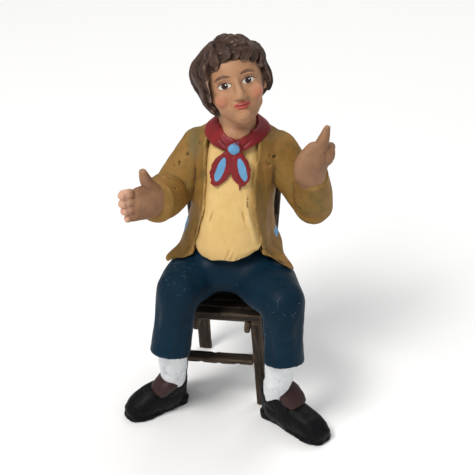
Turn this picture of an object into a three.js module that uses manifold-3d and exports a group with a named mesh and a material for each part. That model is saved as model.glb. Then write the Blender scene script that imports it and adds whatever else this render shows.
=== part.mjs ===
// A seated clay figure on a small stick chair, in millimetres, +Z up.
// The sitter faces -Y, so the sitter's left is +X. The floor is z = 0.
// Places are measured in one working frame; the whole group is centred over its origin at the end.

import * as THREE from "three";
import { mergeVertices } from "three/addons/utils/BufferGeometryUtils.js";
import Module from "manifold-3d";

const wasm = await Module();
wasm.setup();

// Driving sizes of the chair, about its own middle
const CHAIR = { middle: -1.95, turn: 2.6 };
const SEAT_TOP = 27.4;
const PLANK = { thick: 2.2, deep: 3.1, gap: 0.2, count: 6, half: 9.9 };
const SEAT_FRONT = -9.9;
const LEG = { wide: 2.7, deep: 2.6, halfTop: 8.6 };
const LEG_FOOT = { right: { half: 11.7, back: 3.6 }, left: { half: 10.5, back: 0 } };
const SIDE_RAIL = { thick: 1.45, high: 3.2, half: 6.5, back: 14.1 };
const STRETCHER = { bottom: 12.1, thick: 1.5, deep: 3.6 };
const POST = { wide: 3.5, deep: 1.6, middleY: 15.2, halfFoot: 7.6, halfTop: 11.1, top: 58 };
const SLAT = { high: 3.6, thick: 1.2, middleY: 13.6, levels: [42, 54], inset: 0.4 };
const GLUE_GAP = 0.1;
const SEAT_GAP = 0.3;
const SLIVER = 0.01;
const WORN = 0.22;

// Driving sizes of the figure
const HEAD = { at: [-0.2, 1.0, 86.6], turn: 20, look: 20, tilt: 12 };
const FINGER = 1.15;
const FINGER_SHARES = [1, 1.12, 1.05, 0.85];
const LOCK_THICK = 1.25;

const degrees = Math.PI / 180;
const point = (p) => new THREE.Vector3(p[0], p[1], p[2]);
const bell = (x) => Math.exp(-x * x);
const turnBetween = (a, b) => Math.abs(((a - b + 540) % 360) - 180);

// A crease is [place along 0 to 1, angle round, depth, run along, spread round].
// A ridge has a negative depth.
function creased(creases) {
  return (along, angle) =>
    creases.reduce(
      (grow, [at, turn, depth, run, spread]) =>
        grow - depth * bell((along - at) / run) * bell(turnBetween(angle, turn) / spread),
      0,
    );
}

// One point of a section: a rounded box between an ellipse (square 2) and a box (square 8 and more).
function onSection(angle, square) {
  const c = Math.cos(angle);
  const s = Math.sin(angle);
  const reach = Math.pow(Math.pow(Math.abs(c), square) + Math.pow(Math.abs(s), square), -1 / square);
  return [c * reach, s * reach];
}

// A closed body through stations [x, y, z, half-width, half-depth]. The width lies along across.
function loftMesh(stations, options) {
  const { across = [1, 0, 0], around = 12, steps = 2, square = 2, dome = 0.7, domeRings = [45] } = options;
  const { flatStart = false, flatEnd = false, level = false, swell = () => 0, warp = (p) => p } = options;
  const centres = new THREE.CatmullRomCurve3(stations.map(point), false, "catmullrom", 0.5);
  const sizes = new THREE.CatmullRomCurve3(
    stations.map((s) => new THREE.Vector3(s[3], s[4], 0)),
    false,
    "catmullrom",
    0.5,
  );
  const rings = (stations.length - 1) * steps;
  const rows = [];
  const addRow = (t, slide, scale) => {
    const tangent = level ? new THREE.Vector3(0, 0, 1) : centres.getTangent(t);
    const wide = point(across).addScaledVector(tangent, -tangent.dot(point(across))).normalize();
    const deep = new THREE.Vector3().crossVectors(tangent, wide);
    const size = sizes.getPoint(t);
    const row = [];
    for (let j = 0; j < around; j += 1) {
      const angle = (j / around) * 2 * Math.PI;
      const [c, s] = onSection(angle, square);
      const grow = swell(t, angle / degrees);
      const at = centres.getPoint(t).addScaledVector(tangent, slide);
      at.addScaledVector(wide, c * (size.x + grow) * scale);
      at.addScaledVector(deep, s * (size.y + grow) * scale);
      row.push(warp(at, t, angle / degrees));
    }
    rows.push(row);
  };
  const bulge = (k) => Math.min(stations.at(k)[3], stations.at(k)[4]) * dome;
  const domed = domeRings.map((a) => [Math.cos(a * degrees), Math.sin(a * degrees)]);
  if (!flatStart) domed.forEach(([slide, scale]) => addRow(0, -bulge(0) * slide, scale));
  for (let i = 0; i <= rings; i += 1) addRow(i / rings, 0, 1);
  if (!flatEnd) domed.toReversed().forEach(([slide, scale]) => addRow(1, bulge(-1) * slide, scale));
  const tip = (t, slide) => {
    const at = centres.getPoint(t).addScaledVector(centres.getTangent(t), slide);
    return warp(at, t, 0, true);
  };
  return closeRows(rows, tip(0, flatStart ? 0 : -bulge(0)), tip(1, flatEnd ? 0 : bulge(-1)));
}

// Rows of points, closed by a fan to a first and a last point.
function closeRows(rows, first, last) {
  const around = rows[0].length;
  const points = [...rows.flat(), first, last];
  const faces = [];
  for (let i = 0; i + 1 < rows.length; i += 1) {
    for (let j = 0; j < around; j += 1) {
      const [a, b] = [i * around + j, i * around + ((j + 1) % around)];
      faces.push(a, b, b + around, a, b + around, a + around);
    }
  }
  const end = (rows.length - 1) * around;
  for (let j = 0; j < around; j += 1) {
    faces.push(points.length - 2, (j + 1) % around, j);
    faces.push(points.length - 1, end + j, end + ((j + 1) % around));
  }
  const geometry = new THREE.BufferGeometry().setFromPoints(points);
  geometry.setIndex(faces);
  return geometry;
}

// A closed three.js geometry as a solid for joining and cutting.
function solid(geometry, closer = 1e-4) {
  geometry.deleteAttribute("normal");
  geometry.deleteAttribute("uv");
  const merged = mergeVertices(geometry, closer);
  return new wasm.Manifold(
    new wasm.Mesh({
      numProp: 3,
      vertProperties: new Float32Array(merged.attributes.position.array),
      triVerts: new Uint32Array(merged.index.array),
    }),
  );
}

const loft = (stations, options = {}) => solid(loftMesh(stations, options));
const joined = (solids) => solids.reduce((whole, part) => whole.add(part));

// An ellipsoid with its own half-sizes, turned by Euler angles in degrees.
function ball(at, half, turns = [0, 0, 0], sides = 10) {
  const geometry = new THREE.SphereGeometry(1, sides, Math.round(sides * 0.6));
  geometry.scale(half[0], half[1], half[2]);
  geometry.rotateX(turns[0] * degrees);
  geometry.rotateY(turns[1] * degrees);
  geometry.rotateZ(turns[2] * degrees);
  geometry.translate(at[0], at[1], at[2]);
  return solid(geometry);
}

// A box between two corners.
function box(low, high) {
  const size = low.map((v, k) => high[k] - v);
  const geometry = new THREE.BoxGeometry(size[0], size[1], size[2]);
  geometry.translate((low[0] + high[0]) / 2, (low[1] + high[1]) / 2, (low[2] + high[2]) / 2);
  return solid(geometry);
}

// Trousers: hips, thighs, knees and the lower legs down to their hems.
const LEGS = {
  right: {
    hip: [-7.2, 2.5, 34.8, 7.4, 6.6],
    thigh: [-8.5, -6.5, 36.3, 7.7, 5.8],
    knee: [-11.3, -15.5, 36.4, 5.6, 5.4],
    hem: [-12.8, -19, 20.7],
  },
  left: {
    hip: [8.4, 2.5, 34.8, 7.4, 6.6],
    thigh: [9.2, -7, 36.5, 8.0, 5.8],
    knee: [14.9, -17, 36.8, 5.6, 5.4],
    hem: [15.9, -20, 21.6],
  },
};

function trouserLeg({ hip, thigh, knee, hem }) {
  const upper = loft([hip, thigh, knee], {
    steps: 3,
    dome: 0.95,
    swell: creased([
      [0.12, 110, 0.5, 0.07, 60],
      [0.33, 80, 0.5, 0.06, 60],
      [0.52, 70, 0.4, 0.05, 50],
      [0.8, 110, 0.35, 0.05, 40],
    ]),
  });
  const shin = hem.map((v, k) => v * 0.55 + knee[k] * 0.45);
  const lower = loft([[...hem, 5.0, 4.9], [...shin, 4.9, 4.9], [...knee.slice(0, 3), 5.5, 5.3]], {
    steps: 3,
    flatStart: true,
    swell: creased([
      [0.05, 250, -0.35, 0.12, 40],
      [0.25, 300, 0.4, 0.06, 60],
      [0.55, 90, 0.6, 0.08, 60],
      [0.75, 90, 0.6, 0.07, 70],
      [0.8, 250, 0.3, 0.07, 40],
      [0.12, 120, 0.45, 0.08, 50],
    ]),
  });
  return upper.add(lower);
}

function trousers() {
  const hips = ball([0.8, 4, 35.4], [13.2, 9.0, 7.6], [0, 0, 0], 14);
  const lap = ball([1.0, -5.4, 38.6], [8.6, 5.4, 4.6], [0, 0, 0], 10);
  return joined([hips, lap, ...Object.values(LEGS).map(trouserLeg)]);
}

// A sock from inside the trouser leg down into the shoe.
function sock(top, ankle) {
  const middle = [(top[0] + ankle[0]) / 2, top[1] * 0.6 + ankle[1] * 0.4, 14.5];
  return loft([[...ankle, 3.4, 3.6], [...middle, 3.6, 3.6], [...top, 3.7, 3.7]], {
    around: 8,
    flatStart: true,
    flatEnd: true,
  });
}

// A shoe along its own axis from the heel, lying on the floor, with its sole and its instep tongue.
function shoe({ heel, toe, length, tongueAt }) {
  const axis = new THREE.Vector3(toe[0] - heel[0], toe[1] - heel[1], 0).normalize();
  const across = [-axis.y, axis.x, 0];
  const along = (s, z) => [heel[0] + axis.x * s, heel[1] + axis.y * s, z];
  const onFloor = (p) => p.setZ(Math.max(p.z, 0));
  const end = length - 3;
  const upper = loft(
    [
      [...along(-1.7, 3.3), 2.5, 4.2],
      [...along(0.2, 3.4), 3.6, 4.5],
      [...along(0.3 * end, 3.2), 3.8, 4.3],
      [...along(0.52 * end, 2.8), 3.4, 3.7],
      [...along(0.76 * end, 2.0), 3.6, 2.7],
      [...along(0.92 * end, 1.7), 3.1, 2.4],
    ],
    { across, around: 10, steps: 1, square: 2.6, dome: 0.75, warp: onFloor },
  );
  const sole = loft(
    [
      [...along(-1.9, 0.5), 2.3, 0.7],
      [...along(0.1, 0.5), 3.1, 0.7],
      [...along(0.38 * end, 0.5), 3.0, 0.7],
      [...along(0.76 * end, 0.5), 3.9, 0.7],
      [...along(0.94 * end, 0.5), 3.3, 0.7],
    ],
    { across, around: 8, steps: 1, square: 3.5, dome: 2.4, warp: onFloor },
  );
  const heading = Math.atan2(axis.y, axis.x) / degrees;
  const tongue = ball(along(tongueAt[0], tongueAt[1]), [3.2, 3.2, 3.0], [0, 0, heading], 8);
  return joined([upper, sole, tongue]);
}

const SHOES = {
  right: {
    heel: [-13.4, -11.3],
    toe: [-22.2, -20.2],
    length: 17.0,
    sock: [-12.3, -18.2, 23],
    ankle: [-13.5, -12.6, 6.5],
    tongueAt: [4.2, 6.6],
  },
  left: {
    heel: [12.5, -13.4],
    toe: [25.8, -22.0],
    length: 20.3,
    sock: [15.1, -19.2, 23.5],
    ankle: [14.0, -14.6, 6.5],
    tongueAt: [5.4, 8.0],
  },
};

function feet() {
  return joined(Object.values(SHOES).flatMap((foot) => [shoe(foot), sock(foot.sock, foot.ankle)]));
}

// The jacket's outline from the hem up to the collar: [centre x, centre y, z, half-width, half-depth].
const JACKET = [
  [-0.5, 0.4, 40.0, 12.9, 11.2],
  [-0.6, 0.9, 42.6, 12.5, 10.8],
  [-1.1, 1.5, 46.6, 11.2, 10.2],
  [-0.5, 1.9, 54.0, 10.2, 9.9],
  [-0.2, 2.4, 61.0, 10.9, 9.2],
  [0.5, 2.8, 66.8, 12.0, 8.2],
  [0.9, 3.1, 70.9, 11.0, 6.9],
  [0.9, 3.1, 73.2, 7.6, 5.5],
  [0.9, 2.9, 74.4, 5.2, 4.5],
];

// The shirt's belly and chest in the jacket's opening.
const SHIRT = [
  [0.7, -1.7, 43.4, 8.2, 10.6],
  [0.7, -1.6, 45.6, 8.7, 11.2],
  [0.6, -1.2, 49.0, 8.5, 10.6],
  [0.5, -0.7, 54.0, 8.2, 9.4],
  [0.5, 0.4, 61.0, 8.4, 8.2],
  [0.6, 1.4, 67.0, 8.2, 7.4],
  [0.8, 2.2, 71.5, 6.4, 5.8],
  [0.8, 2.4, 74.5, 4.4, 4.4],
];

// The opening's two edges seen from the front, as [x, z] from the hem up.
const OPENING_RIGHT = [[-8.4, 37], [-7.6, 45.5], [-5.6, 54.8], [-5.2, 62], [-5.4, 68.5], [-5.6, 77]];
const OPENING_LEFT = [[9.6, 37], [8.6, 46.5], [6.8, 56], [6.1, 63], [6.3, 69], [6.6, 77]];

function opening() {
  const edge = (points) => points.map(([x, z]) => new THREE.Vector2(x, z));
  const shape = new THREE.Shape([
    ...new THREE.SplineCurve(edge(OPENING_RIGHT)).getPoints(8),
    ...new THREE.SplineCurve(edge(OPENING_LEFT.toReversed())).getPoints(8),
  ]);
  const geometry = new THREE.ExtrudeGeometry(shape, { depth: 16, bevelEnabled: false });
  geometry.rotateX(90 * degrees);
  geometry.translate(0, -4.2, 0);
  return solid(geometry);
}

function torso() {
  const front = (angle) => Math.max(0, -Math.sin(angle * degrees));
  const jacket = loft(JACKET, {
    around: 22,
    level: true,
    square: 2.25,
    dome: 0.15,
    flatStart: true,
    swell: creased([
      [0, 208, -4.2, 0.09, 17],
      [0, 331, -4.6, 0.07, 18],
      [0.05, 90, -0.5, 0.12, 14],
      [0.05, 150, -0.5, 0.12, 14],
      [0.05, 60, 0.5, 0.14, 14],
      [0.05, 120, 0.5, 0.14, 14],
      [0.24, 200, 0.5, 0.04, 26],
      [0.24, 340, 0.5, 0.04, 26],
      [0.42, 190, 0.35, 0.04, 24],
      [0.42, 350, 0.35, 0.04, 24],
      [0.34, 75, 0.35, 0.04, 30],
      [0.5, 105, 0.35, 0.04, 30],
    ]),
    warp: (p, t, angle, centre) => {
      const lift = centre ? 0 : 5.6 * Math.pow(front(angle), 3) * Math.max(0, 1 - t * 5);
      return p.setZ(p.z + lift);
    },
  });
  const shirt = loft(SHIRT, {
    around: 18,
    level: true,
    square: 2.3,
    flatStart: true,
    dome: 0.3,
    swell: creased([
      [0.1, 250, 0.4, 0.12, 6],
      [0.1, 280, 0.45, 0.12, 6],
      [0.12, 300, 0.4, 0.12, 6],
      [0.12, 225, 0.4, 0.12, 6],
      [0.72, 270, 0.3, 0.1, 10],
    ]),
  });
  return joined([jacket.subtract(opening()), shirt]);
}

// Sleeves: an upper arm and a forearm that overlap at the elbow, with a hollowed cuff.
const ARMS = {
  right: {
    shoulder: [-8.3, 3.4, 67.0],
    elbow: [-15.0, -2.4, 57.2],
    cuff: [-16.9, -12.4, 59.2],
    girth: [5.3, 5.1, 5.2, 5.2],
  },
  left: {
    shoulder: [9.9, 3.2, 67.6],
    elbow: [19.9, 0.4, 54.7],
    cuff: [20.0, -5.9, 66.0],
    girth: [5.3, 4.8, 4.6, 4.2],
  },
};

function sleeve({ shoulder, elbow, cuff, girth }) {
  const upper = loft(
    [
      [...shoulder, girth[0], girth[0]],
      [...shoulder.map((v, k) => v * 0.45 + elbow[k] * 0.55), girth[1] + 0.1, girth[1]],
      [...elbow, girth[1] - 0.1, girth[1] - 0.1],
    ],
    {
      across: [0, 0, 1],
      around: 11,
      steps: 3,
      dome: 0.95,
      swell: creased([
        [0.25, 30, 0.4, 0.07, 50],
        [0.45, 320, 0.35, 0.06, 50],
        [0.72, 60, 0.5, 0.06, 70],
        [0.88, 60, 0.5, 0.05, 70],
      ]),
    },
  );
  const forearm = loft(
    [
      [...elbow, girth[1] - 0.1, girth[1] - 0.1],
      [...elbow.map((v, k) => v * 0.5 + cuff[k] * 0.5), girth[2], girth[2]],
      [...cuff, girth[3], girth[3] * 0.92],
    ],
    {
      across: [0, 0, 1],
      around: 11,
      steps: 3,
      dome: 0.95,
      flatEnd: true,
      swell: creased([
        [0.3, 0, 0.5, 0.07, 60],
        [0.55, 30, 0.35, 0.06, 60],
        [0.93, 0, -0.25, 0.06, 180],
      ]),
    },
  );
  return upper.add(forearm);
}

// A hand: a palm with four fingers side by side and a raised thumb.
function hand({ palm, palmAcross, knuckles, spread, reach, length, thumb }) {
  const parts = [
    loft(palm, { across: palmAcross, around: 10, square: 2.2 }),
    loft(thumb, { across: spread, around: 6 }),
  ];
  for (let k = 0; k < 4; k += 1) {
    const shift = (1.5 - k) * FINGER * 1.82;
    const long = FINGER_SHARES[k] * length;
    const root = knuckles.map((v, n) => v + spread[n] * shift);
    const bend = root.map((v, n) => v + reach[n] * 2.8 * long);
    const tip = bend.map((v, n) => v + (reach[n] * 0.8 + reach[n + 3]) * 2.0 * long);
    const stations = [
      [...root, FINGER, FINGER * 1.1],
      [...bend, FINGER, FINGER * 1.05],
      [...tip, FINGER * 0.85, FINGER * 0.85],
    ];
    parts.push(loft(stations, { across: spread, around: 6, steps: 1, dome: 0.9 }));
  }
  return joined(parts);
}

// reach holds the fingers' direction and then the way in which they curl.
const HANDS = {
  right: {
    palm: [
      [-16.4, -11.0, 59.8, 4.0, 3.4],
      [-18.2, -14.6, 60.3, 4.6, 2.7],
      [-20.1, -17.4, 61.0, 4.1, 1.9],
    ],
    palmAcross: [0.06, 0.08, 0.995],
    knuckles: [-20.2, -17.6, 61.4],
    spread: [0.06, 0.08, 0.995],
    reach: [-0.65, -0.75, 0.1, 0.5, -0.4, 0],
    length: 0.95,
    thumb: [
      [-17.2, -13.4, 63.2, 1.7, 1.7],
      [-17.9, -15.4, 66.6, 1.55, 1.6],
      [-18.2, -16.4, 69.0, 1.2, 1.3],
    ],
  },
  left: {
    palm: [
      [19.8, -5.8, 63.2, 2.8, 2.4],
      [19.6, -8.1, 67.6, 3.9, 2.3],
      [20.3, -9.0, 71.6, 4.1, 2.2],
      [21.6, -8.7, 75.0, 2.9, 1.8],
    ],
    palmAcross: [0.75, 0.5, -0.4],
    knuckles: [22.5, -7.4, 72.2],
    spread: [0.26, -0.13, 0.82],
    reach: [0.22, 0.95, -0.1, -0.3, 0.1, -0.3],
    length: 0.72,
    thumb: [
      [21.6, -8.6, 74.0, 2.0, 1.7],
      [22.6, -8.4, 77.0, 1.7, 1.4],
      [23.4, -8.1, 80.0, 1.0, 1.0],
    ],
  },
};

// The head's frame: its own x to the sitter's left, -y to the face, +z to the crown.
const headFrame = new THREE.Matrix4()
  .makeTranslation(...HEAD.at)
  .multiply(new THREE.Matrix4().makeRotationZ(HEAD.turn * degrees))
  .multiply(new THREE.Matrix4().makeRotationY(-HEAD.tilt * degrees))
  .multiply(new THREE.Matrix4().makeRotationX(-HEAD.look * degrees));

const inHead = (geometry) => solid(geometry.applyMatrix4(headFrame));
const headLoft = (stations, options = {}) => inHead(loftMesh(stations, options));

function headBall(at, half, sides = 8) {
  const geometry = new THREE.SphereGeometry(1, sides, Math.round(sides * 0.6));
  geometry.scale(half[0], half[1], half[2]);
  geometry.translate(at[0], at[1], at[2]);
  return inHead(geometry);
}

function face() {
  const skull = headLoft(
    [
      [0, -4.6, -8.7, 2.8, 2.4],
      [0, -3.2, -7.0, 5.0, 4.8],
      [0, -1.5, -3.8, 6.5, 6.7],
      [0, -0.5, 0, 7.1, 7.7],
      [0, 0, 4, 6.9, 7.7],
      [0, 0.3, 7.0, 5.2, 5.8],
    ],
    { around: 14, steps: 1, dome: 0.5, square: 2.15 },
  );
  const nose = headLoft(
    [
      [0, -7.5, 1.4, 0.8, 0.7],
      [0, -8.3, -1.0, 0.9, 0.9],
      [0, -8.8, -2.9, 1.2, 1.1],
    ],
    { around: 8, steps: 1 },
  );
  const lips = [headBall([0, -7.4, -5.2], [2.1, 0.9, 0.5]), headBall([0, -7.2, -6.0], [1.7, 0.9, 0.6])];
  const sides = [-1, 1].flatMap((side) => [
    headBall([side * 3.4, -4.7, -3.0], [2.6, 1.9, 2.3]),
    headBall([side * 6.9, 0.4, -1.6], [1.0, 1.6, 2.4]),
  ]);
  return joined([skull, nose, ...lips, headBall([0, -5.9, -7.3], [2.4, 1.5, 1.6]), ...sides]);
}

function neck() {
  const stations = [
    [0.8, 2.4, 71, 4.7, 4.5],
    [0.8, 2.0, 75, 4.3, 4.3],
    [0.4, 1.6, 80, 4.6, 5.0],
  ];
  return loft(stations, { steps: 1 });
}

// Hair: a cap over the skull and wavy locks that lie on it.
const HAIR = { centre: [0, 0.6, 0.2], half: [8.0, 8.7, 8.6] };

// A place on the hair's outer form, by the angle round from the face and the height angle, both in degrees.
function onHair(round, high, lift) {
  const flat = Math.cos(high * degrees);
  return [
    HAIR.centre[0] + (HAIR.half[0] + lift) * flat * Math.sin(round * degrees),
    HAIR.centre[1] - (HAIR.half[1] + lift) * flat * Math.cos(round * degrees),
    HAIR.centre[2] + (HAIR.half[2] + lift) * Math.sin(high * degrees),
  ];
}

// A lock runs from one place to another and waves sideways on its way.
function lock(from, to, wave, size) {
  const stations = [];
  const count = 5;
  for (let k = 0; k < count; k += 1) {
    const t = k / (count - 1);
    const sway = wave * Math.sin(t * 2 * Math.PI);
    const round = from[0] + (to[0] - from[0]) * t + sway;
    const high = from[1] + (to[1] - from[1]) * t + sway * 0.3;
    const taper = [0.7, 1.05, 1.1, 0.95, 0.5][k];
    stations.push([...onHair(round, high, k === 0 ? -0.3 : 0.1), size * taper, LOCK_THICK * taper]);
  }
  const middle = onHair((from[0] + to[0]) / 2, (from[1] + to[1]) / 2, 0);
  const outwards = point(middle).sub(point(HAIR.centre)).normalize();
  const run = point(stations[count - 1]).sub(point(stations[0])).normalize();
  const across = new THREE.Vector3().crossVectors(outwards, run).toArray();
  return headLoft(stations, { across, around: 5, steps: 1, dome: 0.8, domeRings: [] });
}

function hair() {
  const cap = headBall(HAIR.centre, HAIR.half.map((v) => v - 0.2), 16);
  const faceWindow = headLoft(
    [
      [0, -9.0, -12, 6.4, 5.2],
      [0, -9.6, -3, 6.3, 5.4],
      [0, -9.6, 3.4, 5.6, 5.0],
    ],
    { around: 12, steps: 2, dome: 0.35, square: 2.6 },
  );
  const below = headLoft(
    [
      [0, -2.6, -15, 9, 8.4],
      [0, -2.2, -6.6, 9, 6.4],
    ],
    { steps: 1, dome: 0.2, square: 3 },
  );
  const locks = [];
  // the fringe, swept towards the sitter's left
  [-38, -13, 13, 38].forEach((round, k) => {
    locks.push(lock([round - 26, 66], [round + 10, 28 + (k % 2) * 3], 8, 2.6));
  });
  // two rows down each side of the head
  [-1, 1].forEach((side) => {
    [68, 98, 128].forEach((round, k) => {
      locks.push(lock([side * (round - 12), 58], [side * round, 6], 8 * side * (k % 2 ? 1 : -1), 2.3));
      const low = k === 0 && side === 1 ? -22 : -38;
      locks.push(lock([side * (round + 4), 12], [side * (round + 4), low], -7 * side, 2.2));
    });
  });
  // the back of the head, down to the nape
  [160, 196].forEach((round, k) => {
    locks.push(lock([round, 58], [round, 4], k % 2 ? 8 : -8, 2.3));
    locks.push(lock([round + 4, 10], [round, -40], k % 2 ? -7 : 7, 2.2));
  });
  // curls over the crown
  [0, 120, 240].forEach((round) => {
    locks.push(lock([round - 30, 82], [round + 40, 60], 6, 2.6));
  });
  return joined([cap.subtract(faceWindow).subtract(below), ...locks]);
}

// The neckerchief: two bands from the nape round to the knot, the knot and two tails.
const KNOT = [1.0, -5.6, 71.2];
const TAILS = [
  { side: -1, low: [-3.1, -7.7, 63.6] },
  { side: 1, low: [4.0, -7.7, 64.0] },
];

function neckerchief() {
  const band = (side) => {
    const x = (v) => 0.8 + side * v;
    const stations = [
      [0.8, 7.6, 75.6, 2.2, 0.9],
      [x(4.8), 5.9, 74.8, 2.4, 0.9],
      [x(6.1), 1.6, 74.3, 2.3, 0.95],
      [x(4.0), -3.1, 72.8, 1.9, 0.95],
      [KNOT[0], KNOT[1] + 0.9, KNOT[2], 1.3, 0.9],
    ];
    return loft(stations, { across: [side * 0.85, 0.1, -0.5], around: 6, square: 2.6 });
  };
  const tail = ({ side, low }) => {
    const stations = [
      [KNOT[0], KNOT[1] + 0.2, KNOT[2] - 0.6, 0.8, 0.6],
      [KNOT[0] + side * 1.9, KNOT[1] - 1.0, KNOT[2] - 4.0, 2.3, 0.75],
      [...low, 1.8, 0.6],
    ];
    return loft(stations, { around: 6, dome: 0.9 });
  };
  return joined([band(-1), band(1), ball(KNOT, [1.9, 1.2, 1.7]), ...TAILS.map(tail)]);
}

function figure() {
  const whole = joined([
    trousers(),
    feet(),
    torso(),
    sleeve(ARMS.right),
    sleeve(ARMS.left),
    hand(HANDS.right),
    hand(HANDS.left),
    neck(),
    face(),
    hair(),
    neckerchief(),
  ]);
  // the sitter is flat underneath, where the body rests on the seat
  const seatFront = SEAT_FRONT - 3 * SEAT_GAP;
  const seatSpace = box([-20, seatFront, SEAT_TOP - 11], [20, 22, SEAT_TOP + SEAT_GAP]);
  return whole.subtract(seatSpace);
}

const clay = new THREE.MeshStandardMaterial({ color: 0x8c6c3a, roughness: 0.6, metalness: 0 });
const wood = new THREE.MeshStandardMaterial({ color: 0x4b3c30, roughness: 0.7, metalness: 0 });

// A wooden stick between two points, with worn edges and ends; its width lies along across.
// A leaning stick keeps its ends level, so that it stands flat on the floor.
function stick(from, to, wide, deep, { across = [1, 0, 0], leaning = false } = {}) {
  const along = point(to).sub(point(from));
  const long = leaning ? along.z : along.length();
  const [w, d] = [wide / 2 - WORN, deep / 2 - WORN];
  const cut = WORN * 0.6;
  const corners = [[1, -1], [1, 1], [-1, 1], [-1, -1]];
  const section = new THREE.Shape(
    corners.flatMap(([x, y]) => {
      const sidePoint = new THREE.Vector2(x * w, y * (d - cut));
      const endPoint = new THREE.Vector2(x * (w - cut), y * d);
      return x === y ? [sidePoint, endPoint] : [endPoint, sidePoint];
    }),
  );
  const bevel = { bevelEnabled: true, bevelThickness: WORN, bevelSize: WORN, bevelSegments: 1 };
  const geometry = new THREE.ExtrudeGeometry(section, { depth: long - 2 * WORN, ...bevel });
  geometry.translate(0, 0, WORN - long / 2);
  if (leaning) {
    geometry.applyMatrix4(new THREE.Matrix4().makeShear(0, 0, 0, 0, along.x / long, along.y / long));
  }
  const mesh = new THREE.Mesh(geometry, wood);
  const z = leaning ? new THREE.Vector3(0, 0, 1) : along.normalize();
  const x = point(across).addScaledVector(z, -z.dot(point(across))).normalize();
  mesh.setRotationFromMatrix(new THREE.Matrix4().makeBasis(x, new THREE.Vector3().crossVectors(z, x), z));
  mesh.position.addVectors(point(from), point(to)).multiplyScalar(0.5);
  return mesh;
}

const LEG_TOP = SEAT_TOP - PLANK.thick - GLUE_GAP;
const LEG_Y = SEAT_FRONT + LEG.deep / 2;
const RAIL_Z = LEG_TOP - SIDE_RAIL.high / 2;
const SIDES = { right: -1, left: 1 };

// A bar that lies across the chair at a place y, z.
function crossbar(reach, y, z, deep, high) {
  return stick([-reach, y, z], [reach, y, z], deep, high, { across: [0, 1, 0] });
}

function uprights() {
  const sticks = {};
  Object.entries(SIDES).forEach(([name, side]) => {
    // the right front leg leans back, clear of the shoe beside it
    const { half, back } = LEG_FOOT[name];
    const legFoot = [side * half, LEG_Y + back, 0];
    const legTop = [side * LEG.halfTop, LEG_Y, LEG_TOP];
    sticks[`front_leg_${name}`] = stick(legFoot, legTop, LEG.wide, LEG.deep, { leaning: true });
    const postFoot = [side * POST.halfFoot, POST.middleY, 0];
    const postTop = [side * POST.halfTop, POST.middleY, POST.top];
    sticks[`back_post_${name}`] = stick(postFoot, postTop, POST.wide, POST.deep, { leaning: true });
  });
  return sticks;
}

function rails() {
  const sticks = {};
  Object.entries(SIDES).forEach(([name, side]) => {
    const x = side * SIDE_RAIL.half;
    const front = [x, SEAT_FRONT + 0.1, RAIL_Z];
    const back = [x, SIDE_RAIL.back, RAIL_Z];
    sticks[`side_rail_${name}`] = stick(front, back, SIDE_RAIL.thick, SIDE_RAIL.high);
  });
  const reach = SIDE_RAIL.half - SIDE_RAIL.thick / 2 - GLUE_GAP;
  const backY = SIDE_RAIL.back - SIDE_RAIL.thick / 2;
  sticks.back_rail = crossbar(reach, backY, RAIL_Z, SIDE_RAIL.thick, SIDE_RAIL.high);
  // the stretcher fits between the insides of the two front legs
  const { bottom, thick, deep } = STRETCHER;
  const level = (bottom + thick) / LEG_TOP;
  const reachTo = ({ half }) => half + (LEG.halfTop - half) * level - LEG.wide / 2 - GLUE_GAP;
  const [y, z] = [SEAT_FRONT + deep / 2, bottom + thick / 2];
  const rightEnd = [-reachTo(LEG_FOOT.right), y, z];
  const leftEnd = [reachTo(LEG_FOOT.left), y, z];
  sticks.front_stretcher = stick(rightEnd, leftEnd, deep, thick, { across: [0, 1, 0] });
  return sticks;
}

// The seat: a front rail and planks of the same section, laid across the side rails.
function seat() {
  const sticks = {};
  for (let k = 0; k <= PLANK.count; k += 1) {
    const y = SEAT_FRONT + PLANK.deep / 2 + k * (PLANK.deep + PLANK.gap);
    const reach = PLANK.half + 0.15 * k + (k % 2 ? -0.1 : 0.1);
    const name = k === 0 ? "front_rail" : `seat_plank_${k}`;
    sticks[name] = crossbar(reach, y, SEAT_TOP - PLANK.thick / 2, PLANK.deep, PLANK.thick);
  }
  return sticks;
}

function backSlats() {
  const sticks = {};
  ["lower", "upper"].forEach((name, k) => {
    const level = SLAT.levels[k];
    const post = POST.halfFoot + ((POST.halfTop - POST.halfFoot) * level) / POST.top;
    const reach = post + POST.wide / 2 - SLAT.inset;
    sticks[`back_slat_${name}`] = crossbar(reach, SLAT.middleY, level, SLAT.thick, SLAT.high);
  });
  return sticks;
}

// A joined solid back as a three.js geometry, moved into place.
// Slivers are closed and hidden hollows filled.
function castGeometry(body, shift) {
  const mesh = body.getMesh();
  const raw = new THREE.BufferGeometry();
  raw.setAttribute("position", new THREE.BufferAttribute(new Float32Array(mesh.vertProperties), 3));
  raw.setIndex(new THREE.BufferAttribute(new Uint32Array(mesh.triVerts), 1));
  raw.translate(shift.x, shift.y, shift.z);
  raw.attributes.position.array.forEach((v, k, all) => {
    all[k] = Math.round(v / SLIVER) * SLIVER;
  });
  const shells = solid(raw).decompose();
  const cast = shells.reduce((a, b) => (a.volume() > b.volume() ? a : b)).getMesh();
  const geometry = new THREE.BufferGeometry();
  geometry.setAttribute("position", new THREE.BufferAttribute(new Float32Array(cast.vertProperties), 3));
  geometry.setIndex(new THREE.BufferAttribute(new Uint32Array(cast.triVerts), 1));
  return geometry;
}

const chair = new THREE.Group();
Object.entries({ ...uprights(), ...rails(), ...seat(), ...backSlats() }).forEach(([name, mesh]) => {
  mesh.name = name;
  chair.add(mesh);
});
chair.rotation.z = CHAIR.turn * degrees;
chair.position.x = CHAIR.middle;
chair.updateMatrixWorld(true);

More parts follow.
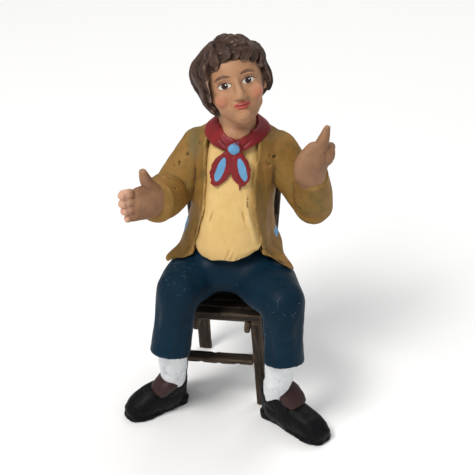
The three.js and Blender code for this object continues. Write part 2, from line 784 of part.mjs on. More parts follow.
// The whole is centred over the origin, standing on z = 0.
const body = figure();
const { min, max } = body.boundingBox();
const extent = new THREE.Box3(point(min), point(max)).expandByObject(chair, true);
const middle = extent.getCenter(new THREE.Vector3());
const shift = new THREE.Vector3(-middle.x, -middle.y, -extent.min.z);
chair.position.add(shift);

const cast = new THREE.Mesh(castGeometry(body, shift), clay);
cast.name = "figure";

const nativityFigure = new THREE.Group();
nativityFigure.add(cast, chair);

export default nativityFigure;
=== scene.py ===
"""The looks of a painted clay nativity figure on a small stick chair.

All shapes are worked out in the maker's sketch, in millimetres: the floor is z = 0, the sitter faces -Y
and the sitter's left is +X. The finished pieces are then moved into the frame, in metres.
"""

import math

import bpy
import numpy as np
from mathutils import Matrix, Vector
from mathutils.bvhtree import BVHTree


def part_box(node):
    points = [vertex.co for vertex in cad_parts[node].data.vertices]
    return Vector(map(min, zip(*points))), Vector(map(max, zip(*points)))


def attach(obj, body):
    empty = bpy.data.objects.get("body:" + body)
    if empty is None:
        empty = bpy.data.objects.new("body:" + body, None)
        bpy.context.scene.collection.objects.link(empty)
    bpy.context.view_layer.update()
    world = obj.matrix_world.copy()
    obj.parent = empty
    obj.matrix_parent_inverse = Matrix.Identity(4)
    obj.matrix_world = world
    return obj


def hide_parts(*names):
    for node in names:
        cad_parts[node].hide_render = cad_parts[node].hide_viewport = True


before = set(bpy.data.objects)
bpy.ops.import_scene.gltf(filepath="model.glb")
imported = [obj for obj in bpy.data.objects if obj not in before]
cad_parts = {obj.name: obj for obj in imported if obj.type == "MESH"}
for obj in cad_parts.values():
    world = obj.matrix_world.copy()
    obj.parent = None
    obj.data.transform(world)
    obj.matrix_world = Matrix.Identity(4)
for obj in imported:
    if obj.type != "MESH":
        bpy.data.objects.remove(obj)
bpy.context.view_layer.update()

MM = 0.001

# Where the sketch lies in the frame: the chair's front rail is known in both
CHAIR_TURN = math.radians(2.6)
CHAIR_MIDDLE_X = -1.95
RAIL_MIDDLE_Y = -8.35
rail_low, rail_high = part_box("front_rail")
SKETCH_TO_FRAME = np.array([
    (rail_low.x + rail_high.x) / 2 / MM - CHAIR_MIDDLE_X + RAIL_MIDDLE_Y * math.sin(CHAIR_TURN),
    (rail_low.y + rail_high.y) / 2 / MM - RAIL_MIDDLE_Y * math.cos(CHAIR_TURN),
    0.0,
])


# Camera, floor and light

CAMERA_TURN = math.radians(9.5)
CAMERA_HEIGHT_ANGLE = math.radians(30)
CAMERA_DISTANCE = 400.0
CAMERA_TARGET = np.array([1.0, 0.0, 44.0])
PHOTO_PIXELS = 475
FOCAL_PIXELS = 1600
SENSOR = 36.0


def in_frame(point):
    return Vector((np.asarray(point, float) + SKETCH_TO_FRAME) * MM)


def new_object(name, data):
    """An object in the scene that holds this mesh, lamp or camera."""
    made = bpy.data.objects.new(name, data)
    bpy.context.scene.collection.objects.link(made)
    return made


def modified(thing):
    """A new mesh of the object with its modifiers applied."""
    return bpy.data.meshes.new_from_object(thing.evaluated_get(bpy.context.evaluated_depsgraph_get()))


def place_camera():
    turn, rise = CAMERA_TURN, CAMERA_HEIGHT_ANGLE
    back = Vector((math.sin(turn) * math.cos(rise), -math.cos(turn) * math.cos(rise), math.sin(rise)))
    data = bpy.data.cameras.new("camera")
    data.sensor_width = SENSOR
    data.lens = FOCAL_PIXELS / PHOTO_PIXELS * SENSOR
    data.clip_start = 0.02
    data.clip_end = 20
    camera = new_object("camera", data)
    camera.location = in_frame(CAMERA_TARGET) + back * CAMERA_DISTANCE * MM
    camera.rotation_euler = back.to_track_quat("Z", "Y").to_euler()
    bpy.context.scene.camera = camera


def lamp(name, place, size, watts, colour=(1, 1, 1)):
    data = bpy.data.lights.new(name, "AREA")
    data.size = size
    data.energy = watts
    data.color = colour
    light = new_object(name, data)
    light.location = place
    light.rotation_euler = (Vector(place) - Vector((0, 0, 0.05))).to_track_quat("Z", "Y").to_euler()


place_camera()
bpy.context.scene.view_settings.view_transform = "Standard"
lamp("key", (-0.22, -0.34, 0.60), 0.26, 3.6, (1.0, 0.985, 0.96))
lamp("fill", (0.55, -0.40, 0.30), 0.50, 0.3, (0.97, 0.98, 1.0))
lamp("back", (0.15, 0.45, 0.70), 0.50, 2.3)


# Shader maths written as Python expressions

def linear(value):
    """A screen value from 0 to 255 as the shader's linear value."""
    share = value / 255
    return share / 12.92 if value <= 10 else ((share + 0.055) / 1.055) ** 2.4


def tone(red, green, blue):
    """A paint colour given in screen values, as the shader's linear colour."""
    return (linear(red), linear(green), linear(blue), 1.0)


class Wire:
    """A shader socket. An expression on it adds its Math nodes."""

    def __init__(self, desk, socket):
        self.desk = desk
        self.socket = socket

    def maths(self, operation, first, second):
        return self.desk.node("ShaderNodeMath", {"operation": operation}, {0: first, 1: second})

    def __add__(self, other):
        return self.maths("ADD", self, other)

    def __radd__(self, other):
        return self.maths("ADD", other, self)

    def __sub__(self, other):
        return self.maths("SUBTRACT", self, other)

    def __rsub__(self, other):
        return self.maths("SUBTRACT", other, self)

    def __mul__(self, other):
        return self.maths("MULTIPLY", self, other)

    def __truediv__(self, other):
        return self.maths("DIVIDE", self, other)

    def __pow__(self, other):
        return self.maths("POWER", self, other)

    def __neg__(self):
        return self.maths("MULTIPLY", self, -1.0)

    def __abs__(self):
        return self.desk.node("ShaderNodeMath", {"operation": "ABSOLUTE"}, {0: self})

    def most(self, other):
        return self.maths("MAXIMUM", self, other)


class Desk:
    """A material being mixed: its nodes, and the few mixtures that all finishes use."""

    def __init__(self, name, sculpted=True):
        self.material = bpy.data.materials.new(name)
        self.material.use_nodes = True
        self.tree = self.material.node_tree
        self.tree.nodes.clear()
        if sculpted:
            self.place = self.attribute("place", 1)
        else:
            place = self.node("ShaderNodeTexCoord", {}, {}, 3)
            self.place = self.node("ShaderNodeVectorMath", {"operation": "SCALE"}, {0: place, 3: 1 / MM})

    def node(self, kind, settings=None, sockets=None, output=0):
        made = self.tree.nodes.new(kind)
        for key, value in (settings or {}).items():
            setattr(made, key, value)
        for key, value in (sockets or {}).items():
            if isinstance(value, Wire):
                self.tree.links.new(value.socket, made.inputs[key])
            else:
                made.inputs[key].default_value = value
        return Wire(self, made.outputs[output])

    def attribute(self, name, output=2):
        return self.node("ShaderNodeAttribute", {"attribute_name": name}, {}, output)

    def axis(self, index, vector=None):
        return self.node("ShaderNodeSeparateXYZ", {}, {0: vector or self.place}, index)

    def spread(self, scale, shift):
        """The place on the piece, scaled and shifted for a texture."""
        return self.node("ShaderNodeVectorMath", {"operation": "MULTIPLY_ADD"}, {
            0: self.place, 1: scale, 2: shift})

    def noise(self, size, detail=3.0, stretch=(1, 1, 1), shift=(0, 0, 0), roughness=0.55):
        """Cloudy noise from 0 to 1, with clouds of about that size in millimetres."""
        at = self.spread(tuple(1 / (size * s) for s in stretch), shift)
        return self.node("ShaderNodeTexNoise", {}, {
            "Vector": at, "Scale": 1.0, "Detail": detail, "Roughness": roughness})

    def cells(self, size, shift=(0, 0, 0), output=0):
        """The distance to scattered points that lie about that many millimetres apart."""
        at = self.spread((1 / size,) * 3, shift)
        return self.node("ShaderNodeTexVoronoi", {}, {"Vector": at, "Scale": 1.0}, output)

    def step(self, value, low, high):
        """0 below low, 1 above high, with a soft edge between them."""
        return self.node("ShaderNodeMapRange", {"interpolation_type": "SMOOTHSTEP"}, {
            0: value, 1: low, 2: high, 3: 0.0, 4: 1.0})

    def mix(self, share, first, second):
        return self.node("ShaderNodeMix", {"data_type": "RGBA"}, {0: share, 6: first, 7: second}, 2)

    def blob(self, across, up, centre, half, turn=0.0, wobble=None):
        """How far a point lies outside an ellipse, in its own half-sizes: 1 is on the edge."""
        c, s = math.cos(math.radians(turn)), math.sin(math.radians(turn))
        x = (across - centre[0]) * c + (up - centre[1]) * s
        y = (up - centre[1]) * c - (across - centre[0]) * s
        far = ((x / half[0]) ** 2.0 + (y / half[1]) ** 2.0) ** 0.5
        return far if wobble is None else far + wobble

    def finish(self, colour, roughness, height, depth=0.03, specular=0.2):
        """The surface: colour and roughness, and height from 0 to 1 as relief of that many millimetres."""
        bump = self.node("ShaderNodeBump", {}, {"Strength": 1.0, "Distance": depth * MM, "Height": height})
        surface = self.node("ShaderNodeBsdfPrincipled", {}, {
            "Base Color": colour, "Roughness": roughness, "Normal": bump,
            "Specular IOR Level": specular})
        output = self.tree.nodes.new("ShaderNodeOutputMaterial")
        self.tree.links.new(surface.socket, output.inputs["Surface"])
        return self.material


# Clay: lofts and pebbles are fused into one skin, which is then carved and smoothed

# Share of the faces that a finished skin keeps: flat places give theirs up first
KEPT_FACES = 0.52


def curve(points, at):
    """Places on a smooth line through the points, for shares from 0 to 1."""
    points = np.asarray(points, float)
    ends = np.vstack([2 * points[0] - points[1], points, 2 * points[-1] - points[-2]])
    spans = len(points) - 1
    place = np.clip(np.asarray(at, float), 0, 1) * spans
    first = np.minimum(place.astype(int), spans - 1)
    f = (place - first)[:, None]
    before, start, end, after = (ends[first + n] for n in range(4))
    start_run, end_run = (end - before) / 2, (after - start) / 2
    return ((2 * f**3 - 3 * f**2 + 1) * start + (f**3 - 2 * f**2 + f) * start_run
            + (3 * f**2 - 2 * f**3) * end + (f**3 - f**2) * end_run)


def bell(x):
    return np.exp(-x * x)


def soft_step(x):
    x = np.clip(x, 0, 1)
    return x * x * (3 - 2 * x)


def turn_between(a, b):
    return np.abs((a - b + 540) % 360 - 180)


def creased(*creases):
    """Swelling of a loft by creases [place along, angle round, depth, run along, spread round]."""
    def swell(along, angle):
        grow = 0
        for at, turn, depth, run, spread in creases:
            grow = grow - depth * bell((along - at) / run) * bell(turn_between(angle, turn) / spread)
        return grow
    return swell


def closed(rows, first, last):
    """A closed form from rows of points, shut by a fan to a first and a last point."""
    count, around = rows.shape[:2]
    points = np.vstack([rows.reshape(-1, 3), first, last])
    i, j = np.meshgrid(np.arange(count - 1), np.arange(around), indexing="ij")
    here, beside = i * around + j, i * around + (j + 1) % around
    quads = np.stack([here, beside, beside + around, here + around], axis=-1).reshape(-1, 4).tolist()
    end = (count - 1) * around
    for k in range(around):
        after = (k + 1) % around
        quads.append([len(points) - 2, after, k])
        quads.append([len(points) - 1, end + k, end + after])
    return points, quads


def loft(stations, across=(1, 0, 0), around=40, rings=40, square=2.0, dome=0.7, flat_start=False,
         flat_end=False, hollow_start=0.0, hollow_end=0.0, rim=0.83, level=False, swell=None, warp=None):
    """A closed form through stations [x, y, z, half-width, half-depth], with the width along across."""
    stations = np.asarray(stations, float)
    bulges = [min(stations[k][3], stations[k][4]) * dome for k in (0, -1)]
    cap = np.radians([15, 35, 55, 75])
    start, end = [], []
    if hollow_start:
        start = [(0, hollow_start, rim * 0.9), (0, hollow_start * 0.5, rim), (0, 0.12, rim)]
    elif not flat_start:
        start = [(0, -bulges[0] * math.cos(a), math.sin(a)) for a in cap]
    if hollow_end:
        end = [(1, -0.12, rim), (1, -hollow_end * 0.5, rim), (1, -hollow_end, rim * 0.9)]
    elif not flat_end:
        end = [(1, bulges[1] * math.cos(a), math.sin(a)) for a in cap[::-1]]
    rows = np.array(start + [(k / rings, 0, 1) for k in range(rings + 1)] + end)
    share, slide, scale = rows.T
    centre = curve(stations[:, :3], share)
    size = curve(stations[:, 3:5], share)
    if level:
        tangent = np.tile([0.0, 0.0, 1.0], (len(rows), 1))
    else:
        tangent = curve(stations[:, :3], share + 1e-3) - curve(stations[:, :3], share - 1e-3)
        tangent /= np.linalg.norm(tangent, axis=1)[:, None]
    across = np.asarray(across, float)
    wide = curve(across, share) if across.ndim == 2 else np.tile(across, (len(rows), 1))
    wide = wide - tangent * np.sum(tangent * wide, axis=1)[:, None]
    wide /= np.linalg.norm(wide, axis=1)[:, None]
    deep = np.cross(tangent, wide)
    angle = np.arange(around) / around * 2 * math.pi
    c, s = np.cos(angle), np.sin(angle)
    reach = (np.abs(c) ** square + np.abs(s) ** square) ** (-1 / square)
    grow = 0 if swell is None else swell(share[:, None], np.degrees(angle)[None])
    wide_reach = (c * reach)[None] * (size[:, :1] + grow) * scale[:, None]
    deep_reach = (s * reach)[None] * (size[:, 1:] + grow) * scale[:, None]
    spine = centre + tangent * slide[:, None]
    points = spine[:, None] + wide[:, None] * wide_reach[..., None] + deep[:, None] * deep_reach[..., None]
    if warp is not None:
        points = warp(points, share[:, None], np.degrees(angle)[None])
    first = spine[0] if (flat_start or hollow_start) else centre[0] - tangent[0] * bulges[0]
    last = spine[-1] if (flat_end or hollow_end) else centre[-1] + tangent[-1] * bulges[1]
    return closed(points, first, last)


def turned(x, y, z):
    """The turns about x, y and then z, in degrees, as a matrix."""
    whole = Matrix.Rotation(math.radians(z), 3, "Z") @ Matrix.Rotation(math.radians(y), 3, "Y")
    return np.array(whole @ Matrix.Rotation(math.radians(x), 3, "X"))


def pebble(at, half, turns=(0, 0, 0), around=32):
    """An ellipsoid with its own half-sizes."""
    high = np.linspace(-math.pi / 2, math.pi / 2, around // 2 + 1)[1:-1, None]
    angle = (np.arange(around) / around * 2 * math.pi)[None]
    rows = np.stack([np.cos(high) * np.cos(angle), np.cos(high) * np.sin(angle),
                     np.sin(high) + 0 * angle], axis=-1) * half
    points, faces = closed(rows, [0, 0, -half[2]], [0, 0, half[2]])
    return points @ turned(*turns).T + at, faces


def moved(shape, matrix):
    points, faces = shape
    return points @ matrix[:3, :3].T + matrix[:3, 3], faces


# How many random values the noise has along each axis before it repeats
LATTICE = 24


def clouds(points, size, seed):
    """Smooth noise from -1 to 1, with lumps of about that size."""
    lattice = np.random.default_rng(seed).uniform(-1, 1, (LATTICE,) * 3)
    at = points / size + 100.5
    cell = np.floor(at).astype(int)
    f = at - cell
    f = f * f * (3 - 2 * f)
    total = 0
    for x in (0, 1):
        for y in (0, 1):
            for z in (0, 1):
                share = np.prod([f[:, k] if n else 1 - f[:, k] for k, n in enumerate((x, y, z))], axis=0)
                corner = (cell + (x, y, z)) % LATTICE
                total = total + share * lattice[tuple(corner.T)]
    return total


def fading(along):
    """Takes a stroke's depth down to little at both of its ends."""
    return np.sqrt(np.maximum(np.sin(np.clip(along, 0.02, 0.98) * math.pi), 0))


class Clay:
    """A skin of clay that can be smoothed, pressed and carved."""

    def __init__(self, name, shapes, voxel):
        points, faces, count = [], [], 0
        for shape_points, shape_faces in shapes:
            points.append(shape_points)
            faces += [[v + count for v in face] for face in shape_faces]
            count += len(shape_points)
        mesh = bpy.data.meshes.new(name)
        mesh.from_pydata(np.vstack(points).tolist(), [], faces)
        lump = new_object(name, mesh)
        skin = lump.modifiers.new("skin", "REMESH")
        skin.mode = "VOXEL"
        skin.voxel_size = voxel
        mesh = modified(lump)
        bpy.data.objects.remove(lump)
        self.name = name
        self.mesh = mesh
        self.count = len(mesh.vertices)
        flat = np.empty(self.count * 3)
        mesh.vertices.foreach_get("co", flat)
        self.points = flat.reshape(-1, 3)
        ends = np.empty(len(mesh.edges) * 2, np.int32)
        mesh.edges.foreach_get("vertices", ends)
        self.ends = ends.reshape(-1, 2)
        self.degree = np.maximum(np.bincount(ends, minlength=self.count), 1)
        self.offset = np.zeros(self.count)
        self.marks = {}

    def mean(self, values):
        """The mean of each point's neighbours."""
        a, b = self.ends.T
        columns = []
        for column in values.T:
            near = np.bincount(a, column[b], self.count) + np.bincount(b, column[a], self.count)
            columns.append(near / self.degree)
        return np.stack(columns, axis=1)

    def relax(self, rounds, share=0.6, where=None):
        weight = share if where is None else share * where[:, None]
        for _ in range(rounds):
            self.points = self.points + (self.mean(self.points) - self.points) * weight
        return self

    def normals(self):
        self.mesh.vertices.foreach_set("co", self.points.ravel())
        self.mesh.update()
        flat = np.empty(self.count * 3, np.float32)
        self.mesh.vertex_normals.foreach_get("vector", flat)
        return flat.reshape(-1, 3).astype(float)

    def near(self, line, reach):
        """The points near a line: which, how far from it, and how far along it from 0 to 1."""
        line = np.asarray(line, float)
        if len(line) > 1:
            length = np.linalg.norm(np.diff(line, axis=0), axis=1).sum()
            line = curve(line, np.linspace(0, 1, max(3, int(length / reach * 4))))
        inside = np.all((self.points > line.min(0) - reach) & (self.points < line.max(0) + reach), axis=1)
        which = np.nonzero(inside)[0]
        far = np.full(len(which), 1e9)
        along = np.zeros(len(which))
        for k, place in enumerate(line):
            gap = np.linalg.norm(self.points[which] - place, axis=1)
            closer = gap < far
            far[closer] = gap[closer]
            along[closer] = k / max(len(line) - 1, 1)
        kept = far < reach
        return which[kept], far[kept], along[kept]

    def dent(self, line, width, depth, fade=True):
        """A soft dent along a line. A negative depth raises a ridge."""
        which, far, along = self.near(line, width)
        shape = (1 - (far / width) ** 2) ** 2
        if fade and len(line) > 1:
            shape = shape * fading(along)
        self.offset[which] -= depth * shape
        return self

    def groove(self, line, width, depth, lip=0.45):
        """A sharp fold line with a raised lip on both sides."""
        which, far, along = self.near(line, width * 2.4)
        u = far / width
        shape = bell(u * 1.5) - lip * bell((u - 1.2) * 2.2)
        shape = shape * fading(along)
        self.offset[which] -= depth * shape
        return self

    def pit(self, at, width, depth):
        """A small dent in the skin where it comes nearest to a place."""
        nearest = np.argmin(np.linalg.norm(self.points - at, axis=1))
        return self.dent([self.points[nearest]], width, depth)

    def settle(self):
        """Moves every point along its normal by what the strokes have added up to."""
        self.points = self.points + self.normals() * self.offset[:, None]
        self.offset[:] = 0
        return self

    def rough(self, size, depth, seed):
        self.offset += clouds(self.points, size, seed) * depth
        return self

    def rest_on(self, floor):
        self.points[:, 2] = np.maximum(self.points[:, 2], floor)
        return self

    def place(self, material, to_sketch=None, relief_rounds=14, slot="painted_clay", replaced="figure",
              shift=(0, 0, 0)):
        """Makes the piece, in its place in the frame, with its finish."""
        mesh, normals = self.mesh, self.normals()
        local = self.points.copy()
        smooth = self.points
        for _ in range(relief_rounds):
            smooth = smooth + (self.mean(smooth) - smooth) * 0.8
        relief = np.einsum("ij,ij->i", local - smooth, normals)
        marks = [(name, "FLOAT", values) for name, values in self.marks.items()]
        layers = [("place", "FLOAT_VECTOR", local + shift), ("relief", "FLOAT", relief), *marks]
        for name, kind, values in layers:
            layer = mesh.attributes.new(name, kind, "POINT")
            layer.data.foreach_set("vector" if kind == "FLOAT_VECTOR" else "value", values.ravel())
        points = local if to_sketch is None else local @ to_sketch[:3, :3].T + to_sketch[:3, 3]
        mesh.vertices.foreach_set("co", ((points + SKETCH_TO_FRAME) * MM).ravel())
        mesh.polygons.foreach_set("use_smooth", [True] * len(mesh.polygons))
        mesh.update()
        mesh.materials.clear()
        mesh.materials.append(material)
        piece = new_object(self.name, mesh)
        piece.modifiers.new("thin", "DECIMATE").ratio = KEPT_FACES
        piece.data = modified(piece)
        piece.modifiers.clear()
        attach(piece, "root")
        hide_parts(replaced)


# Finishes

# Each paint's base, its deeper clouds, and its worn ridges that also serve as painted highlights, in screen
# values
PAINTS = {
    "jacket": ((146, 109, 53), (106, 80, 36), (168, 132, 75)),
    "shirt": ((220, 187, 124), (202, 165, 100), (234, 204, 148)),
    "trousers": ((9, 38, 55), (5, 26, 40), (30, 62, 80)),
    "neckerchief": ((132, 34, 38), (94, 20, 26), (158, 54, 54)),
    "hair": ((70, 50, 41), (36, 25, 21), (164, 134, 114)),
    "skin": ((179, 134, 100), (152, 108, 78), (198, 154, 120)),
    "sock": ((224, 226, 228), (224, 226, 228), (240, 240, 240)),
    "shoe": ((12, 13, 15), (8, 8, 10), (32, 33, 36)),
    "tongue": ((56, 36, 36), (40, 26, 27), (80, 56, 54)),
}


def weathered(desk, paint, seed, groove=0.10, ridge=0.10, patch=6.0, ridge_lightening=0.6):
    """Hand paint: cloudy tone, brush streaks, painted shade in the grooves, and wear with painted highlights
    on the ridges.
    """
    base, deep, worn = (tone(*values) for values in PAINTS[paint])
    relief = desk.attribute("relief")
    broad = desk.noise(patch, 3, shift=(seed, 0, 0))
    brush = desk.noise(0.9, 4, stretch=(1, 1, 3), shift=(0, seed, 0))
    colour = desk.mix(desk.step(broad * 0.7 + brush * 0.3, 0.38, 0.66) * 0.55, base, deep)
    # worn paint and painted highlight where the relief stands up
    lit_worn_ridge = desk.step(relief / ridge + (brush - 0.5) * 1.6, 0.5, 1.5)
    colour = desk.mix(lit_worn_ridge * ridge_lightening, colour, worn)
    # painted shade where the relief is sunk
    groove_shade = desk.step(relief / -groove + (brush - 0.5) * 0.8, 0.2, 1.3)
    return colour, groove_shade, lit_worn_ridge, brush, broad


def specks(desk, spacing, size, share, seed):
    """Scattered round specks: 1 on a speck. Only that share of the possible places has one."""
    gap = desk.cells(spacing, (seed, seed, 0))
    chance = desk.axis(0, desk.cells(spacing, (seed, seed, 0), 1))
    speck = desk.step(gap, size / spacing, size / spacing * 0.7)
    return speck * desk.step(chance, 1 - share, 1 - share + 0.01)


def hairline(desk, size, thin, seed):
    """Thin wandering scratches: 1 on a scratch."""
    field = desk.noise(size, 2, shift=(0, 0, seed))
    return desk.step(abs(field - 0.5), thin, thin * 0.3)


SKY_BLUE = tone(102, 156, 196)
WOOD_BASE, WOOD_DEEP, WOOD_WORN = tone(58, 48, 39), tone(35, 29, 24), tone(86, 73, 60)
# brown for the painted shade in the jacket's grooves
GROOVE_SHADE_TONE = tone(52, 40, 26)
DUST = tone(190, 200, 205)


def jacket_finish():
    desk = Desk("olive_jacket_paint")
    colour, groove_shade, _, brush, broad = weathered(desk, "jacket", 3.0)
    x, y, z = (desk.axis(k) for k in range(3))
    ruddy = desk.step(desk.noise(3.4, 4, (1, 1, 1.6), (2, 7, 0)), 0.5, 0.7) * 0.5
    colour = desk.mix(ruddy, colour, tone(152, 104, 56))
    grime = desk.step(desk.noise(4.0, 5, (1, 1, 1.8), (7, 0, 0), 0.65), 0.5, 0.7) * 0.6
    colour = desk.mix(grime, colour, tone(94, 80, 44))
    # painted shade in the grooves
    colour = desk.mix(groove_shade * 0.75, colour, GROOVE_SHADE_TONE)
    olive = desk.step(desk.noise(5.5, 3, (1, 1, 1.4), (3, 3, 9)), 0.45, 0.65) * 0.28
    colour = desk.mix(olive, colour, tone(112, 100, 52))
    smudge = desk.step(desk.blob(x, z, (-9.6, 70.0), (2.2, 4.6), 12, (brush - 0.5) * 1.2), 1.1, 0.3)
    colour = desk.mix(smudge * 0.55, colour, tone(92, 92, 66))
    pits = specks(desk, 5.0, 0.35, 0.35, 5.0).most(specks(desk, 2.1, 0.16, 0.25, 9.0))
    colour = desk.mix(pits * 0.8, colour, tone(44, 34, 20))
    # cream paint has strayed onto the edges of the opening
    strayed = desk.step(desk.noise(2.6, 5, (1, 1, 1), (4, 8, 2), 0.7), 0.46, 0.6)
    colour = desk.mix(desk.attribute("edge") * strayed * 0.75, colour, tone(214, 180, 120))
    # a painted sash shows round the back of the waist
    leftward = desk.step(x, -4.0, 4.0)
    high = 48.0 - leftward * 2.4
    half = 1.8 - leftward * 0.9
    behind = desk.step(y - leftward * 3.9, -3.6, -3.0)
    sash = desk.step(abs(z - high + (brush - 0.5) * 0.6) / half, 1.06, 0.94) * behind
    colour = desk.mix(sash, colour, SKY_BLUE)
    rough = 0.62 + (broad - 0.5) * 0.2 + groove_shade * 0.15
    return desk.finish(colour, rough, brush * 0.6 + desk.noise(0.35, 3) * 0.4 - pits, 0.06)


def shirt_finish():
    desk = Desk("cream_shirt_paint")
    colour, groove_shade, _, brush, broad = weathered(desk, "shirt", 5.0)
    # painted shade in the grooves
    colour = desk.mix(groove_shade * 0.7, colour, tone(160, 112, 56))
    pits = specks(desk, 3.6, 0.17, 0.3, 4.0)
    colour = desk.mix(pits * 0.85, colour, tone(96, 70, 40))
    x, z = desk.axis(0), desk.axis(2)
    broken = (desk.noise(0.42, 1) - 0.5) * 3.4
    holes = desk.step(desk.blob(x, z, (4.7, 58.6), (0.26, 2.0), 3, broken), 0.9, 0.6)
    colour = desk.mix(holes * 0.8, colour, tone(120, 84, 44))
    # the shirt is painted darker towards its bottom
    lower_darkening = desk.step(z + (broad - 0.5) * 6.0, 54.0, 44.0) * 0.5
    colour = desk.mix(lower_darkening, colour, tone(196, 160, 104))
    return desk.finish(colour, 0.6 + (broad - 0.5) * 0.15, brush * 0.7 - pits, 0.04)


def trouser_finish():
    desk = Desk("petrol_trouser_paint")
    colour, groove_shade, _, brush, broad = weathered(desk, "trousers", 8.0, patch=8.0, ridge=0.16)
    # painted shade in the folds and grooves
    colour = desk.mix(groove_shade * 0.7, colour, tone(5, 16, 28))
    x, z = desk.axis(0), desk.axis(2)
    chalk = desk.step(desk.noise(1.1, 5, (1, 1, 1), (2, 3, 4)), 0.56, 0.75)
    bloom = desk.step(desk.blob(x, z, (-12.0, 39.5), (5.5, 3.6), 10, (broad - 0.5) * 1.4), 1.15, 0.2)
    left_knee = desk.blob(x, z, (17.0, 36.0), (4.0, 3.4), 0, (broad - 0.5) * 1.6)
    bloom = bloom.most(desk.step(left_knee, 1.1, 0.2))
    colour = desk.mix(bloom * chalk * 0.5, colour, tone(92, 120, 134))
    scratches = hairline(desk, 6.0, 0.003, 4.0) * desk.step(desk.noise(4.0, 2, shift=(9, 1, 0)), 0.62, 0.68)
    colour = desk.mix(scratches * 0.22, colour, DUST)
    white = specks(desk, 2.8, 0.12, 0.34, 2.0).most(specks(desk, 1.6, 0.06, 0.2, 7.0))
    colour = desk.mix(white * 0.75, colour, DUST)
    return desk.finish(colour, 0.5 + (broad - 0.5) * 0.25 + bloom * 0.2, brush * 0.6 + white, 0.03, 0.11)


def red_finish():
    desk = Desk("red_neckerchief_paint")
    colour, groove_shade, _, brush, broad = weathered(desk, "neckerchief", 2.0, patch=3.0)
    # painted shade in the grooves
    colour = desk.mix(groove_shade * 0.75, colour, tone(70, 12, 18))
    x, y, z = (desk.axis(k) for k in range(3))
    front = desk.step(y, -4.6, -5.2)
    wobble = (brush - 0.5) * 0.35
    blue = desk.step(desk.blob(x, z, (1.2, 71.9), (1.38, 1.36), 0, wobble), 1.04, 0.94)
    for centre, half, turn in (((-1.95, 66.6), (0.95, 3.1), -19), ((3.35, 67.0), (0.98, 2.9), 17)):
        blue = blue.most(desk.step(desk.blob(x, z, centre, half, turn, wobble), 1.05, 0.93))
    blue = blue * front
    colour = desk.mix(blue, colour, desk.mix(desk.step(brush, 0.4, 0.7) * 0.5, SKY_BLUE, tone(86, 138, 180)))
    return desk.finish(colour, 0.45 + (broad - 0.5) * 0.2, brush * 0.7 + blue * 0.5, 0.04, 0.25)


# The middle of an eye and the height of its iris, in the head's own frame
EYE_X, EYE_Z, IRIS_Z = 2.85, -0.4, -0.32


